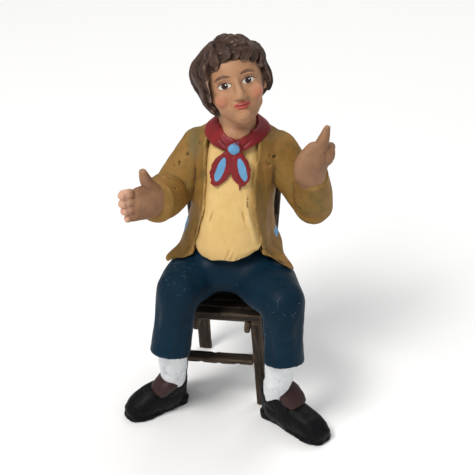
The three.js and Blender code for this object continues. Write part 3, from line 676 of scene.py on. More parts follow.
def skin_finish(name, shaded_hands=False):
    desk = Desk(name)
    colour, groove_shade, lit_worn_ridge, brush, broad = weathered(desk, "skin", 6.0, patch=4.0)
    # painted shade in the hollows, stronger on the hands
    colour = desk.mix(groove_shade * (0.7 if shaded_hands else 0.2), colour, tone(128, 76, 50))
    x, y, z = (desk.axis(k) for k in range(3))
    if shaded_hands:
        # painted shade: the hands are a darker copy of the skin, clouded darker still
        shade = desk.step(desk.noise(5.0, 3, shift=(1, 5, 0)), 0.4, 0.65) * 0.6
        colour = desk.mix(0.62, colour, tone(132, 98, 72))
        colour = desk.mix(shade, colour, tone(122, 86, 62))
        # painted highlight on the right hand's fingertips, added to the lit and worn ridges
        lit_fingertips = desk.step(-x + (broad - 0.5) * 2.0, 20.8, 22.6)
        colour = desk.mix(lit_worn_ridge.most(lit_fingertips) * 0.72, colour, tone(222, 174, 148))
        spots = specks(desk, 3.0, 0.2, 0.2, 3.0)
        colour = desk.mix(spots * 0.8, colour, tone(86, 56, 38))
        return desk.finish(colour, 0.55 + (broad - 0.5) * 0.2, brush, 0.03, 0.25)
    front = desk.step(y, -3.0, -4.5)
    across = abs(x)
    cheek = desk.blob(across, z, (4.9, -3.9), (2.9, 2.4), 0, (broad - 0.5) * 0.8)
    blush = desk.step(cheek, 1.1, 0.1) * front
    colour = desk.mix(blush * 0.36, colour, tone(200, 104, 86))
    # painted light under the nose, which softens the nose's shadow
    lit_under_nose = desk.step(desk.blob(x, z, (0, -4.5), (2.0, 1.0)), 1.1, 0.2) * front
    colour = desk.mix(lit_under_nose * 0.5, colour, tone(216, 168, 136))
    lips_height = z - across * across * 0.05
    lips = desk.step(desk.blob(x, lips_height, (0, -5.65), (2.0, 0.86), 0, (brush - 0.5) * 0.2), 1.08, 0.9)
    colour = desk.mix(lips * front * 0.9, colour, tone(176, 74, 68))
    line = desk.step(desk.blob(x, lips_height, (0, -5.64), (1.85, 0.13)), 1.3, 0.6)
    colour = desk.mix(line * front * 0.7, colour, tone(112, 36, 38))
    # almond eyes, drawn with a brush: white, iris, pupil, lids and brows
    from_eye = across - EYE_X
    beside = abs(from_eye)
    lid_height = z + from_eye * from_eye * 0.26
    low_height = z - from_eye * from_eye * 0.20
    eye = desk.step(lid_height, 0.42, 0.30) * desk.step(low_height, -1.12, -1.0)
    eye = eye * desk.step(beside, 1.5, 1.38)
    colour = desk.mix(eye * front, colour, tone(214, 208, 198))
    iris = desk.step(desk.blob(beside, z, (0, IRIS_Z), (0.78, 0.82)), 1.06, 0.94) * eye
    colour = desk.mix(iris * front, colour, tone(66, 42, 32))
    pupil = desk.step(desk.blob(beside, z, (0, IRIS_Z), (0.36, 0.38)), 1.1, 0.9) * eye
    colour = desk.mix(pupil * front, colour, tone(18, 12, 11))
    glint = desk.step(desk.blob(x, z, (3.15, -0.08), (0.15, 0.15)), 1.1, 0.8)
    glint = glint.most(desk.step(desk.blob(x, z, (-2.55, -0.08), (0.15, 0.15)), 1.1, 0.8))
    colour = desk.mix(glint * front, colour, tone(245, 245, 245))
    upper = desk.step(abs(lid_height - 0.46), 0.17, 0.08) * desk.step(beside, 1.85, 1.6)
    lower = desk.step(abs(low_height + 1.14), 0.09, 0.03) * desk.step(beside, 1.6, 1.2) * 0.6
    colour = desk.mix(upper.most(lower) * front, colour, tone(70, 44, 34))
    brow_height = z + (across - 2.6) * (across - 2.6) * 0.16
    bristles = (brush - 0.5) * 0.5
    brow = desk.step(desk.blob(across, brow_height, (3.05, 1.95), (2.1, 0.44), 4, bristles), 1.05, 0.7)
    colour = desk.mix(brow * front * 0.85, colour, tone(84, 56, 42))
    gloss = 0.52 + (broad - 0.5) * 0.2 - eye * 0.25 - lips * front * 0.12
    return desk.finish(colour, gloss, brush, 0.02, 0.28)


def hair_finish():
    desk = Desk("brown_hair_paint")
    colour, groove_shade, _, brush, broad = weathered(desk, "hair", 1.0, groove=0.13, ridge=0.15, patch=3.0,
                                              ridge_lightening=0.7)
    # the hair is painted darker towards its bottom
    colour = desk.mix(desk.step(desk.axis(2), 0.0, -7.0) * 0.35, colour, tone(44, 28, 20))
    # painted shade in the grooves between the locks
    colour = desk.mix(groove_shade * 0.9, colour, tone(20, 14, 13))
    return desk.finish(colour, 0.5 + (broad - 0.5) * 0.2, brush, 0.04, 0.22)


def sock_finish():
    desk = Desk("white_sock_paint")
    colour, groove_shade, _, brush, _ = weathered(desk, "sock", 4.0)
    smear = desk.step(desk.noise(2.2, 4, (1, 1, 2.2), (4, 4, 1)), 0.52, 0.68)
    colour = desk.mix(smear * 0.5, colour, tone(178, 186, 194))
    # painted shade in the fold grooves
    colour = desk.mix(groove_shade * 0.6, colour, tone(120, 128, 134))
    spots = specks(desk, 2.4, 0.14, 0.25, 6.0)
    colour = desk.mix(spots * 0.8, colour, tone(50, 52, 58))
    return desk.finish(colour, 0.6, brush, 0.05)


def shoe_finish():
    desk = Desk("black_shoe_paint")
    colour, groove_shade, _, brush, broad = weathered(desk, "shoe", 7.0, patch=4.0)
    # painted shade in the grooves
    colour = desk.mix(groove_shade * 0.7, colour, tone(10, 10, 12))
    white = specks(desk, 2.2, 0.11, 0.22, 8.0)
    colour = desk.mix(white * 0.6, colour, DUST)
    return desk.finish(colour, 0.5 + (broad - 0.5) * 0.25, brush, 0.04, 0.11)


def tongue_finish():
    desk = Desk("maroon_tongue_paint")
    colour, groove_shade, _, brush, broad = weathered(desk, "tongue", 7.0, patch=3.0)
    # painted shade in the grooves
    colour = desk.mix(groove_shade * 0.6, colour, tone(24, 14, 15))
    return desk.finish(colour, 0.5 + (broad - 0.5) * 0.2, brush, 0.04, 0.22)


def wood_finish():
    """Dark stained wood. The grain runs along each stick's own z."""
    desk = Desk("stained_wood")
    relief = desk.attribute("relief")
    lengthwise = (1, 1, 14)
    grain = desk.noise(0.55, 5, lengthwise, (3, 1, 2), 0.7)
    broad = desk.noise(5.0, 3, (1, 1, 2), (1, 2, 8))
    fibres = desk.noise(0.22, 3, lengthwise, (9, 9, 9), 0.6)
    colour = desk.mix(desk.step(grain, 0.4, 0.62), WOOD_DEEP, WOOD_BASE)
    colour = desk.mix(desk.step(grain * 0.6 + broad * 0.4, 0.5, 0.66) * 0.6, colour, WOOD_WORN)
    ridge_lightening = desk.step(relief / 0.1 + (grain - 0.5) * 2.0, 0.5, 1.6)
    colour = desk.mix(ridge_lightening * 0.4, colour, tone(110, 92, 74))
    # open pores, and painted shade in the nicks and hollows
    pores = desk.step(fibres, 0.42, 0.34) * 0.7
    colour = desk.mix(pores.most(desk.step(relief, -0.05, -0.16) * 0.8), colour, tone(24, 18, 15))
    return desk.finish(colour, 0.62 + (broad - 0.5) * 0.2, grain * 0.6 + fibres * 0.4, 0.12, 0.2)


# Trousers

SEAT_LEVEL = 27.7
SEAT_FRONT = -10.8
LEGS = {
    "right": {"hip": (-7.0, 2.5, 34.2, 7.0, 6.4), "thigh": (-8.5, -6.5, 36.3, 7.7, 5.8),
              "knee": (-11.3, -15.5, 36.4, 5.6, 5.4), "hem": (-12.8, -19, 20.7)},
    "left": {"hip": (7.2, 2.5, 33.8, 6.8, 6.2), "thigh": (8.7, -7, 36.5, 8.4, 5.8),
             "knee": (14.9, -17, 36.8, 5.6, 5.4), "hem": (15.9, -20, 21.6)},
}


def trouser_leg(hip, thigh, knee, hem):
    upper = loft([hip, thigh, knee], dome=0.95)
    hem, knee = np.array(hem, float), np.array(knee[:3], float)
    shin = hem * 0.55 + knee * 0.45
    lower = loft([(*hem, 5.0, 4.9), (*shin, 4.9, 4.9), (*knee, 5.5, 5.3)], hollow_start=1.6,
                 swell=creased([0.05, 250, -0.35, 0.12, 40]))
    return [upper, lower]


def sit(clay):
    """Flattens what touches the seat."""
    p = clay.points
    over = (p[:, 2] < SEAT_LEVEL) & (p[:, 1] > SEAT_FRONT)
    rise = SEAT_LEVEL - p[:, 2]
    ahead = p[:, 1] - SEAT_FRONT
    lifted = over & (rise <= ahead)
    pulled = over & (rise > ahead)
    p[lifted, 2] = SEAT_LEVEL
    p[pulled, 1] = SEAT_FRONT
    return clay


def make_trousers():
    shapes = [pebble((0.4, 4, 35.0), (12.0, 8.8, 7.2), around=64),
              pebble((0.8, -5.0, 40.4), (11.2, 6.8, 5.2), around=64),
              pebble((-0.5, -7.6, 38.0), (5.4, 5.8, 4.6), around=64)]
    for leg in LEGS.values():
        shapes += trouser_leg(**leg)
    clay = Clay("trousers", shapes, 0.25)
    clay.relax(4).relax(40, where=soft_step((clay.points[:, 2] - 25) / 4))
    clay.relax(160, where=bell(np.linalg.norm(clay.points - (0.4, -10.0, 40.5), axis=1) / 9.0))
    # broad soft folds over the thighs and knees, and the valley down from the shirt
    clay.dent([(-0.8, -10.5, 44.0), (-1.1, -12.8, 41.2), (-1.3, -12.6, 37.6), (-1.3, -10.5, 34.6)], 4.6, 0.8)
    clay.dent([(-14.5, -6, 40.5), (-10.5, -9, 42.3), (-6.5, -9, 41.5)], 1.8, 0.35)
    clay.dent([(16.5, -8, 40.2), (12.5, -11, 42.0), (8.5, -10, 41.5)], 1.8, 0.35)
    clay.dent([(-7.5, -19.0, 33.5), (-9.0, -21.5, 27.5), (-10.2, -23.0, 22.0)], 1.9, 0.5)
    clay.dent([(-15.0, -19.5, 34.0), (-16.6, -21.5, 28.0)], 2.0, 0.4)
    clay.dent([(11.4, -20.5, 34.0), (12.5, -23.0, 28.0), (13.0, -24.3, 23.0)], 1.9, 0.5)
    clay.dent([(18.8, -20.5, 34.5), (20.2, -22.0, 27.0)], 2.0, 0.4)
    clay.dent([(-16.4, -16, 31.5), (-12.5, -21.0, 30.2), (-8.0, -19.0, 31.8)], 1.5, 0.3)
    clay.dent([(20.0, -18, 31.0), (16.2, -23.0, 29.6), (11.4, -20.5, 31.2)], 1.5, 0.3)
    clay.rough(7.0, 0.22, 11).rough(2.4, 0.07, 12).rough(0.8, 0.025, 13)
    clay.settle().relax(2)
    sit(clay)
    under = BVHTree.FromPolygons(clay.points.tolist(), [list(face.vertices) for face in clay.mesh.polygons])
    clay.place(trouser_finish())
    return under


# Jacket: body and sleeves in one skin, pressed inwards where the shirt shows

JACKET = [
    (-0.5, 0.4, 40.0, 12.9, 11.2),
    (-0.6, 0.9, 42.6, 12.5, 10.8),
    (-1.1, 1.5, 46.6, 11.2, 10.2),
    (-0.5, 1.9, 54.0, 10.2, 9.9),
    (-0.2, 2.4, 61.0, 10.9, 9.2),
    (0.5, 2.8, 66.8, 12.0, 8.2),
    (0.9, 3.1, 70.9, 11.0, 6.9),
    (0.9, 3.1, 73.2, 7.6, 5.5),
    (0.9, 2.9, 74.4, 5.2, 4.5),
]
OPENING_RIGHT = [(-9.2, 37), (-8.3, 45.5), (-6.0, 54.8), (-5.7, 62), (-5.9, 68.5), (-6.0, 77)]
OPENING_LEFT = [(9.4, 37), (8.4, 46.5), (6.2, 56), (5.7, 63), (6.1, 69), (6.5, 77)]
ARMS = {
    "right": {"shoulder": (-8.3, 3.4, 67.0), "elbow": (-15.0, -2.4, 57.2), "cuff": (-16.9, -12.4, 59.2),
              "girth": (5.3, 5.1, 5.2, 5.1)},
    "left": {"shoulder": (9.9, 3.2, 67.6), "elbow": (19.9, 0.4, 54.7), "cuff": (20.0, -5.9, 66.2),
             "girth": (5.3, 4.8, 4.6, 4.1)},
}


def inside_opening(points):
    """How far a point lies inside the jacket's opening seen from the front, in millimetres."""
    share = np.linspace(0, 1, 200)
    right, left = curve(OPENING_RIGHT, share), curve(OPENING_LEFT, share)
    low = np.interp(points[:, 2], right[:, 1], right[:, 0])
    high = np.interp(points[:, 2], left[:, 1], left[:, 0])
    wobble = clouds(points * (0, 0, 1), 2.3, 21) * 0.28 + clouds(points * (0, 0, 1) + 9, 0.9, 22) * 0.12
    return np.minimum(points[:, 0] - low + wobble, high - points[:, 0] + wobble)


def lift_hem(points, share, angle):
    """The hem rises in front."""
    front = -np.sin(np.radians(angle))
    start = 0.54 - 0.10 * np.cos(np.radians(angle))
    points[..., 2] += np.clip(20 * (front - start), 0, 6.4) * np.maximum(0, 1 - share * 5)
    return points


def sleeve(shoulder, elbow, cuff, girth):
    shoulder, elbow, cuff = (np.array(p, float) for p in (shoulder, elbow, cuff))
    middle = shoulder * 0.45 + elbow * 0.55
    upper = loft([(*shoulder, girth[0], girth[0]), (*middle, girth[1] + 0.1, girth[1]),
                  (*elbow, girth[1] - 0.1, girth[1] - 0.1)], across=(0, 0, 1), dome=0.95)
    forearm = loft([(*elbow, girth[1] - 0.1, girth[1] - 0.1), (*((elbow + cuff) / 2), girth[2], girth[2]),
                    (*cuff, girth[3], girth[3] * 0.92)], across=(0, 0, 1), dome=0.35, square=2.2,
                   swell=creased([0.99, 0, -0.16, 0.03, 180]))
    return [upper, forearm]


def shirt_front(points):
    """How far forward the shirt reaches at each point's place."""
    share = np.linspace(0, 1, 200)
    across, back, high, wide, deep = curve(SHIRT, share).T
    at = [np.interp(points[:, 2], high, values) for values in (across, back, wide, deep)]
    side = np.minimum(np.abs((points[:, 0] - at[0]) / at[2]), 0.95)
    return at[1] - at[3] * (1 - side**SHIRT_SQUARE) ** (1 / SHIRT_SQUARE)


def drape(clay, under, gap=0.5):
    """Lays the jacket's skirt over what it rests on."""
    low = np.nonzero(clay.points[:, 2] < 47)[0]
    for k in low:
        spot, normal, _, far = under.find_nearest(clay.points[k])
        inside = (Vector(clay.points[k]) - spot).dot(normal)
        if inside < gap:
            clay.points[k] = spot + normal * gap
    clay.relax(5, where=soft_step((46 - clay.points[:, 2]) / 3))


def make_jacket(under):
    body = loft(JACKET, around=96, rings=120, level=True, square=2.25, dome=0.15, hollow_start=1.2, rim=0.9,
                warp=lift_hem, swell=creased(
                    [0, 208, -4.2, 0.09, 17], [0, 331, -5.3, 0.08, 18], [0.05, 90, -0.5, 0.12, 14],
                    [0.05, 150, -0.5, 0.12, 14], [0.05, 60, 0.5, 0.14, 14], [0.05, 120, 0.5, 0.14, 14]))
    clay = Clay("jacket", [body, *sleeve(**ARMS["right"]), *sleeve(**ARMS["left"])], 0.22)
    clay.relax(4)
    # folds at the elbows, armpits and waist
    clay.groove([(-12.4, 0.2, 63.5), (-11.0, -3.6, 60.5), (-11.4, -5.5, 57.0)], 0.9, 0.45)
    clay.groove([(-18.0, -3.5, 63.0), (-16.2, -7.0, 64.6), (-13.4, -7.6, 63.6)], 0.8, 0.4)
    clay.dent([(-19.6, -2.0, 58.5), (-19.0, -6.5, 55.6), (-16.2, -9.0, 54.8)], 1.7, 0.4)
    clay.dent([(-12.8, -6.8, 55.8), (-15.0, -9.0, 55.0), (-19.0, -9.5, 56.2)], 1.2, 0.3)
    clay.groove([(15.8, -2.2, 60.5), (17.5, -4.4, 58.0), (21.0, -4.8, 57.6)], 0.9, 0.45)
    clay.dent([(15.2, -1.8, 56.0), (18.2, -4.6, 53.6), (22.6, -3.6, 54.6)], 1.5, 0.35)
    clay.dent([(16.2, 1.2, 63.6), (17.0, -2.8, 61.5), (15.4, -3.8, 58.6)], 1.4, 0.3)
    clay.groove([(-9.7, -3.6, 68.0), (-9.3, -5.0, 63.5), (-8.8, -6.4, 57.0)], 0.8, 0.45)
    clay.groove([(10.9, -2.4, 69.0), (10.6, -4.6, 64.0), (9.6, -6.6, 58.0)], 0.8, 0.4)
    clay.dent([(-10.0, -4.0, 54.0), (-8.6, -6.8, 50.0), (-9.8, -7.6, 46.0)], 1.8, 0.4)
    clay.dent([(9.6, -4.0, 54.5), (9.4, -6.2, 50.0), (11.6, -6.4, 46.0)], 1.8, 0.4)
    for x, lean in ((-8, -1.2), (-3, -0.4), (3, 0.6), (8, 1.4)):
        clay.dent([(x, 11.5, 42), (x - lean, 11.6, 48), (x - lean * 2, 11.4, 54)], 1.7, 0.45)
    clay.dent([(-9.0, 9.0, 62), (0.5, 11.8, 60.5), (9.5, 9.4, 62.5)], 1.8, 0.35)
    clay.dent([(-8.0, 9.0, 56.5), (0.0, 12.0, 55), (8.5, 9.4, 57.0)], 1.6, 0.3)
    chance = np.random.default_rng(34)
    for at in ((-14.2, -6, 67), (-13.4, -7, 65.4), (-14.8, -6, 65.8), (-14, -9, 60.9), (-15, -9, 61.6),
               (-9.6, -3.5, 71.5), (-11.5, -4, 69), (9.8, -2, 68.3), (9.2, -3, 67.2), (15.1, -5, 63.3),
               (16.4, -6, 56.4), (-12.4, -6, 57.6), (12.0, -8, 45.5), (-13.8, -7, 42.0)):
        for _ in range(4):
            spot = np.array(at) + chance.uniform(-0.75, 0.75, 3)
            clay.pit(spot, chance.uniform(0.35, 0.75), chance.uniform(0.08, 0.3))
    clay.rough(6.0, 0.22, 31).rough(2.2, 0.08, 32).rough(0.8, 0.03, 33)
    clay.settle()
    drape(clay, under)
    inside = inside_opening(clay.points)
    # the opening's edges lie on the shirt and stand up a little, and the rest is pressed in behind it
    ahead = soft_step((-1.0 - clay.points[:, 1]) / 1.5)
    on_body = ahead * soft_step((13.5 - np.abs(clay.points[:, 0])) / 1.5)
    near_edge = soft_step((inside + 4.5) / 4.2) * on_body
    forward = np.minimum(0, shirt_front(clay.points) - 0.35 - clay.points[:, 1])
    clay.points[:, 1] += near_edge * forward
    clay.marks["edge"] = bell((inside + 0.12) / 0.24) * on_body
    lip = bell((inside + 0.6) / 0.6) * on_body
    clay.offset += lip * 0.22
    clay.settle()
    press = soft_step((inside + 0.12) / 0.4) * on_body
    clay.points[:, 1] += press * 2.6
    tucked = press * soft_step((inside - 0.6) / 1.0)
    clay.points[:, 2] += tucked * np.maximum(0, 50 - clay.points[:, 2]) * 0.9
    clay.relax(1, where=1 - press * 0.6)
    sit(clay)
    clay.place(jacket_finish())


# Shirt: the belly and chest in the opening

SHIRT_SQUARE = 2.5
SHIRT = [
    (0.2, -1.7, 44.2, 9.2, 11.1),
    (0.3, -1.6, 46.4, 9.2, 11.1),
    (0.4, -1.2, 49.0, 8.9, 10.5),
    (0.5, -0.7, 54.0, 8.4, 9.4),
    (0.5, 0.4, 61.0, 8.4, 8.2),
    (0.6, 1.4, 67.0, 8.2, 7.4),
    (0.8, 2.2, 71.5, 6.0, 5.4),
    (0.8, 2.4, 73.6, 4.0, 4.0),
]


def make_shirt():
    body = loft(SHIRT, around=200, rings=150, level=True, square=SHIRT_SQUARE, dome=0.3, hollow_start=1.0,
                rim=0.92, swell=creased([0.72, 270, 0.3, 0.1, 10]))
    clay = Clay("shirt", [body], 0.2)
    clay.relax(3)
    # gathers at the hem
    gathers = ((-3.6, -0.6, 46.6, 0.16), (0.6, 0.5, 47.6, 0.24), (2.2, 1.1, 49.4, 0.3),
               (3.6, 0.8, 48.2, 0.26), (5.2, 1.0, 48.2, 0.2))
    for x, lean, top, depth in gathers:
        gather = [(x - lean, -13.0, 43.6), (x, -13.0, (44 + top) / 2), (x + lean, -12.2, top)]
        clay.groove(gather, 0.6, depth)
    # the raised strip and its groove beside the jacket's left edge, and the shadow groove at the right one
    strip = [(7.6, -9.4, 43.5), (6.5, -9.2, 50), (5.1, -8.9, 56), (4.6, -8.0, 63), (4.8, -6.8, 69)]
    clay.dent(strip, 1.0, -0.4, fade=False)
    clay.groove([(x - 1.25, y - 0.3, z) for x, y, z in strip], 0.4, 0.3, 0.2)
    seam = [(-7.0, -8.3, 45), (-4.9, -8.9, 54.8), (-4.4, -7.9, 62), (-4.6, -6.8, 68)]
    clay.groove([(x + 0.9, y - 0.2, z) for x, y, z in seam], 0.5, 0.3)
    clay.rough(5.0, 0.2, 41).rough(1.8, 0.05, 42).rough(0.7, 0.02, 43)
    clay.settle()
    inside = inside_opening(clay.points)
    tuck = 1 - soft_step((inside + 0.1) / 1.3)
    clay.points[:, 1] += tuck * 0.5 * (clay.points[:, 1] < -1)
    hidden = soft_step((-0.9 - inside) / 1.5)
    clay.points[:, 0] -= hidden * 1.6 * np.sign(clay.points[:, 0])
    clay.points[:, 1] += hidden * 0.8
    p = clay.points
    rise = np.where(p[:, 0] > -1.7, 0.03, 0.022) * (p[:, 0] + 1.7) ** 2
    p[:, 2] += rise * soft_step((48.5 - p[:, 2]) / 4.5) * (p[:, 1] < -2)
    uneven = clouds(clay.points * (1, 1, 0), 2.4, 45) * 0.4 + clouds(clay.points * (1, 1, 0), 0.9, 46) * 0.2
    p[:, 2] += uneven * bell((p[:, 2] - 44.4) / 1.4)
    clay.relax(1)
    clay.place(shirt_finish())


# Hands

# A finger's half-width, the fingers' spacing in half-widths and their lengths beside each other
FINGER = 1.15
FINGER_SPACING = 1.82
FINGER_SHARES = (1, 1.12, 1.05, 0.85)
HANDS = {
    "right": {
        "palm": [(-16.9, -11.6, 59.6, 4.0, 3.6), (-18.5, -14.6, 60.3, 4.4, 2.9),
                 (-20.6, -17.0, 60.7, 4.3, 2.0)],
        "palm_across": (0.06, 0.08, 0.995), "heel": ((-18.8, -14.8, 60.2), (3.4, 2.0, 4.1), (-20, 0, 14)),
        "knuckles": (-21.2, -17.8, 60.9), "spread": (-0.16, 0.0, 0.985),
        "reach": (-0.86, -0.42, 0.0), "curl": (0.4, -0.5, 0), "length": 0.6,
        "thumb": [(-17.2, -13.4, 63.0, 1.8, 1.8), (-18.3, -15.4, 66.4, 1.45, 1.5),
                  (-18.9, -16.4, 69.4, 0.8, 0.9)],
        "marks": [(-20.5, -17.5, 66.5), (-19.6, -17.4, 64.6)],
    },
    "left": {
        "palm": [(20.0, -6.2, 65.0, 3.4, 3.1), (19.7, -8.0, 68.2, 3.9, 2.6), (20.4, -8.9, 71.8, 4.1, 2.3),
                 (21.7, -8.6, 75.0, 2.9, 1.8)],
        "palm_across": (0.75, 0.5, -0.4), "heel": ((23.6, -7.4, 72.8), (1.9, 1.9, 3.0), (0, 12, 0)),
        "knuckles": (22.9, -7.0, 71.6), "spread": (0.26, -0.13, 0.82),
        "reach": (0.22, 0.95, -0.1), "curl": (-0.3, 0.1, -0.3), "length": 0.72,
        "thumb": [(21.7, -8.6, 74.0, 2.0, 1.7), (22.7, -8.4, 77.2, 1.6, 1.4), (23.6, -8.1, 80.4, 0.7, 0.75)],
        "marks": [(22.3, -10.2, 73.8), (23.2, -9.6, 74.6), (18.3, -10.2, 67.0)],
    },
}


def make_hand(side, palm, palm_across, heel, knuckles, spread, reach, curl, length, thumb, marks):
    spread, reach, curl, knuckles = (np.array(v, float) for v in (spread, reach, curl, knuckles))
    shapes = [loft(palm, across=palm_across, square=2.2), loft(thumb, across=spread), pebble(*heel)]
    for k, share in enumerate(FINGER_SHARES):
        root = knuckles + spread * (1.5 - k) * FINGER * FINGER_SPACING
        bend = root + reach * 2.8 * share * length
        tip = bend + (reach * 0.8 + curl) * 2.0 * share * length
        stations = [(*root, FINGER, FINGER * 1.1), (*bend, FINGER, FINGER * 1.05),
                    (*tip, FINGER * 0.85, FINGER * 0.85)]
        shapes.append(loft(stations, across=spread, around=28, rings=20, dome=0.9))
    clay = Clay(f"hand_{side}", shapes, 0.13)
    clay.relax(7)
    for at in marks:
        clay.pit(at, 0.45, 0.22)
    clay.rough(2.5, 0.1, 51).rough(0.8, 0.03, 52)
    clay.settle().relax(1)
    clay.place(SKIN_HANDS)


# Head

HEAD_AT = (-0.2, 1.0, 86.6)
HEAD_TURNS = {"turn": 20, "look": 20, "tilt": 12}


def head_matrix():
    whole = Matrix.Translation(HEAD_AT) @ Matrix.Rotation(math.radians(HEAD_TURNS["turn"]), 4, "Z")
    whole = whole @ Matrix.Rotation(-math.radians(HEAD_TURNS["tilt"]), 4, "Y")
    return np.array(whole @ Matrix.Rotation(-math.radians(HEAD_TURNS["look"]), 4, "X"))


HEAD = head_matrix()
INTO_HEAD = np.linalg.inv(HEAD)


# The neck, in the sketch
NECK = [(0.9, 2.4, 70, 5.2, 5.0), (0.8, 1.9, 74.5, 4.5, 4.5), (0.4, 1.6, 80, 4.6, 5.0)]

# Cheeks, jaw, brows, nostrils and ears of the sitter's left: place, half-sizes and turn about z
PAIRED = [
    ((3.6, -5.3, -3.3), (2.3, 1.75, 2.1), 0),
    ((3.7, -2.4, -5.9), (1.7, 2.6, 1.9), 0),
    ((3.0, -7.0, 1.2), (2.2, 0.8, 0.7), 0),
    ((1.15, -7.9, -3.5), (0.7, 0.9, 0.6), 0),
    ((6.9, 1.0, -1.9), (1.0, 1.6, 2.4), -20),
]


def make_head():
    shapes = [
        pebble((0, 0.8, 0.8), (7.0, 7.8, 7.3), around=64),
        loft([(0, -5.3, -9.0, 1.9, 1.9), (0, -4.2, -7.6, 4.1, 3.9), (0, -2.2, -4.4, 5.9, 6.0),
              (0, -0.7, -0.6, 6.8, 7.3), (0, 0, 3.4, 6.8, 7.5), (0, 0.3, 6.8, 5.2, 5.9)],
             around=64, dome=0.5, square=2.1),
        pebble((0, -7.2, -7.9), (1.7, 1.3, 1.3)),
        loft([(0, -7.2, 1.3, 0.7, 0.6), (0, -7.9, -1.0, 0.8, 0.9), (0, -8.7, -2.8, 1.05, 1.0),
              (0, -8.7, -3.5, 0.95, 0.8)]),
        pebble((0, -7.35, -5.15), (1.7, 0.8, 0.5)),
        pebble((0, -7.2, -6.05), (1.4, 0.8, 0.55)),
        moved(loft(NECK), INTO_HEAD),
        moved(pebble((0.9, -0.6, 73.6), (3.9, 3.9, 3.0)), INTO_HEAD),
    ]
    for (x, y, z), half, turn in PAIRED:
        shapes += [pebble((s * x, y, z), half, (0, 0, s * turn)) for s in (-1, 1)]
    clay = Clay("head", shapes, 0.12)
    clay.relax(24)
    for s in (-1, 1):
        clay.dent([(s * 2.9, -7.3, -0.4)], 2.6, 0.85)
        clay.dent([(s * 1.5, -7.9, -0.2), (s * 1.9, -7.4, -1.4)], 1.0, 0.25)
    clay.settle().relax(4)
    for s in (-1, 1):
        clay.dent([(s * EYE_X, -7.0, EYE_Z)], 1.75, -0.75)
    clay.settle().relax(2)
    for s in (-1, 1):
        lid = [(s * 1.3, -7.3, -0.7), (s * 2.2, -7.5, 0.28), (s * 3.3, -7.2, 0.38), (s * 4.4, -6.4, -0.35)]
        low = [(s * 1.5, -7.2, -1.0), (s * 2.7, -7.3, -1.35), (s * 4.1, -6.5, -0.85)]
        clay.dent(lid, 0.42, -0.2)
        clay.groove([(x, y, z + 0.55) for x, y, z in lid], 0.28, 0.12)
        clay.dent(low, 0.35, -0.1)
        clay.dent([(s * 0.55, -8.8, -4.15)], 0.42, 0.25)
        clay.groove([(s * 1.75, -7.4, -2.9), (s * 2.1, -7.3, -3.8)], 0.4, 0.15)
        clay.dent([(s * 2.25, -6.9, -5.6)], 0.7, 0.14)
        clay.dent([(s * 7.7, 0.9, -1.2), (s * 7.6, 1.0, -2.4)], 0.8, 0.5)
    mouth = [(-1.9, -7.1, -5.45), (-0.9, -7.8, -5.6), (0, -8.0, -5.66), (0.9, -7.8, -5.6),
             (1.9, -7.1, -5.45)]
    clay.groove(mouth, 0.3, 0.28)
    clay.dent([(0, -8.2, -4.3), (0, -8.4, -4.9)], 0.5, 0.08)
    clay.dent([(-1.2, -7.4, -6.95), (0, -7.7, -7.0), (1.2, -7.4, -6.95)], 0.7, 0.25)
    clay.rough(3.0, 0.04, 61).rough(0.9, 0.015, 62)
    clay.settle().relax(1)
    clay.place(skin_finish("painted_face"), HEAD)


# Hair: a cap and wavy locks on it

HAIR_CENTRE = np.array([0, 0.6, 0.2])
HAIR_HALF = np.array([7.75, 8.5, 8.4])

# How many strands stand out round a lock
STRANDS = 4


def on_hair(around, high, lift):
    """A place on the hair's outer form, by the angle round from the face and the height angle."""
    around, high = np.radians(around), np.radians(high)
    way = np.stack([np.cos(high) * np.sin(around), -np.cos(high) * np.cos(around), np.sin(high)], axis=-1)
    return HAIR_CENTRE + way * (HAIR_HALF + np.asarray(lift)[..., None]), way


def lock(path, size, lift=0.15, thick=1.35, wave=0.0, phase=0.0, end_lift=0.0):
    """A lock that follows places (round, high) on the head and waves sideways."""
    share = np.linspace(0, 1, 17)
    places = curve(path, share)
    beat = share * 3.8 * math.pi + phase
    sway = wave * np.sin(beat) * np.minimum(1, share * 3)
    high = places[:, 1]
    around = places[:, 0] + sway / np.maximum(0.35, np.cos(np.radians(high)))
    swell = 0.42 * np.sin(beat + 1.2)
    centres, way = on_hair(around, high, lift + swell + end_lift * share**2)
    run = np.gradient(centres, axis=0)
    across = np.cross(way, run)
    across /= np.linalg.norm(across, axis=1)[:, None]
    taper = np.interp(share, [0, 0.15, 0.5, 0.85, 1], [0.6, 0.95, 1.1, 0.85, 0.4])
    stations = np.column_stack([centres, size * taper, thick * taper])

    def strands(along, angle):
        return 0.18 * np.cos(np.radians(angle) * STRANDS + along * 4)

    return loft(stations, across=across, around=36, rings=36, dome=0.8, swell=strands)


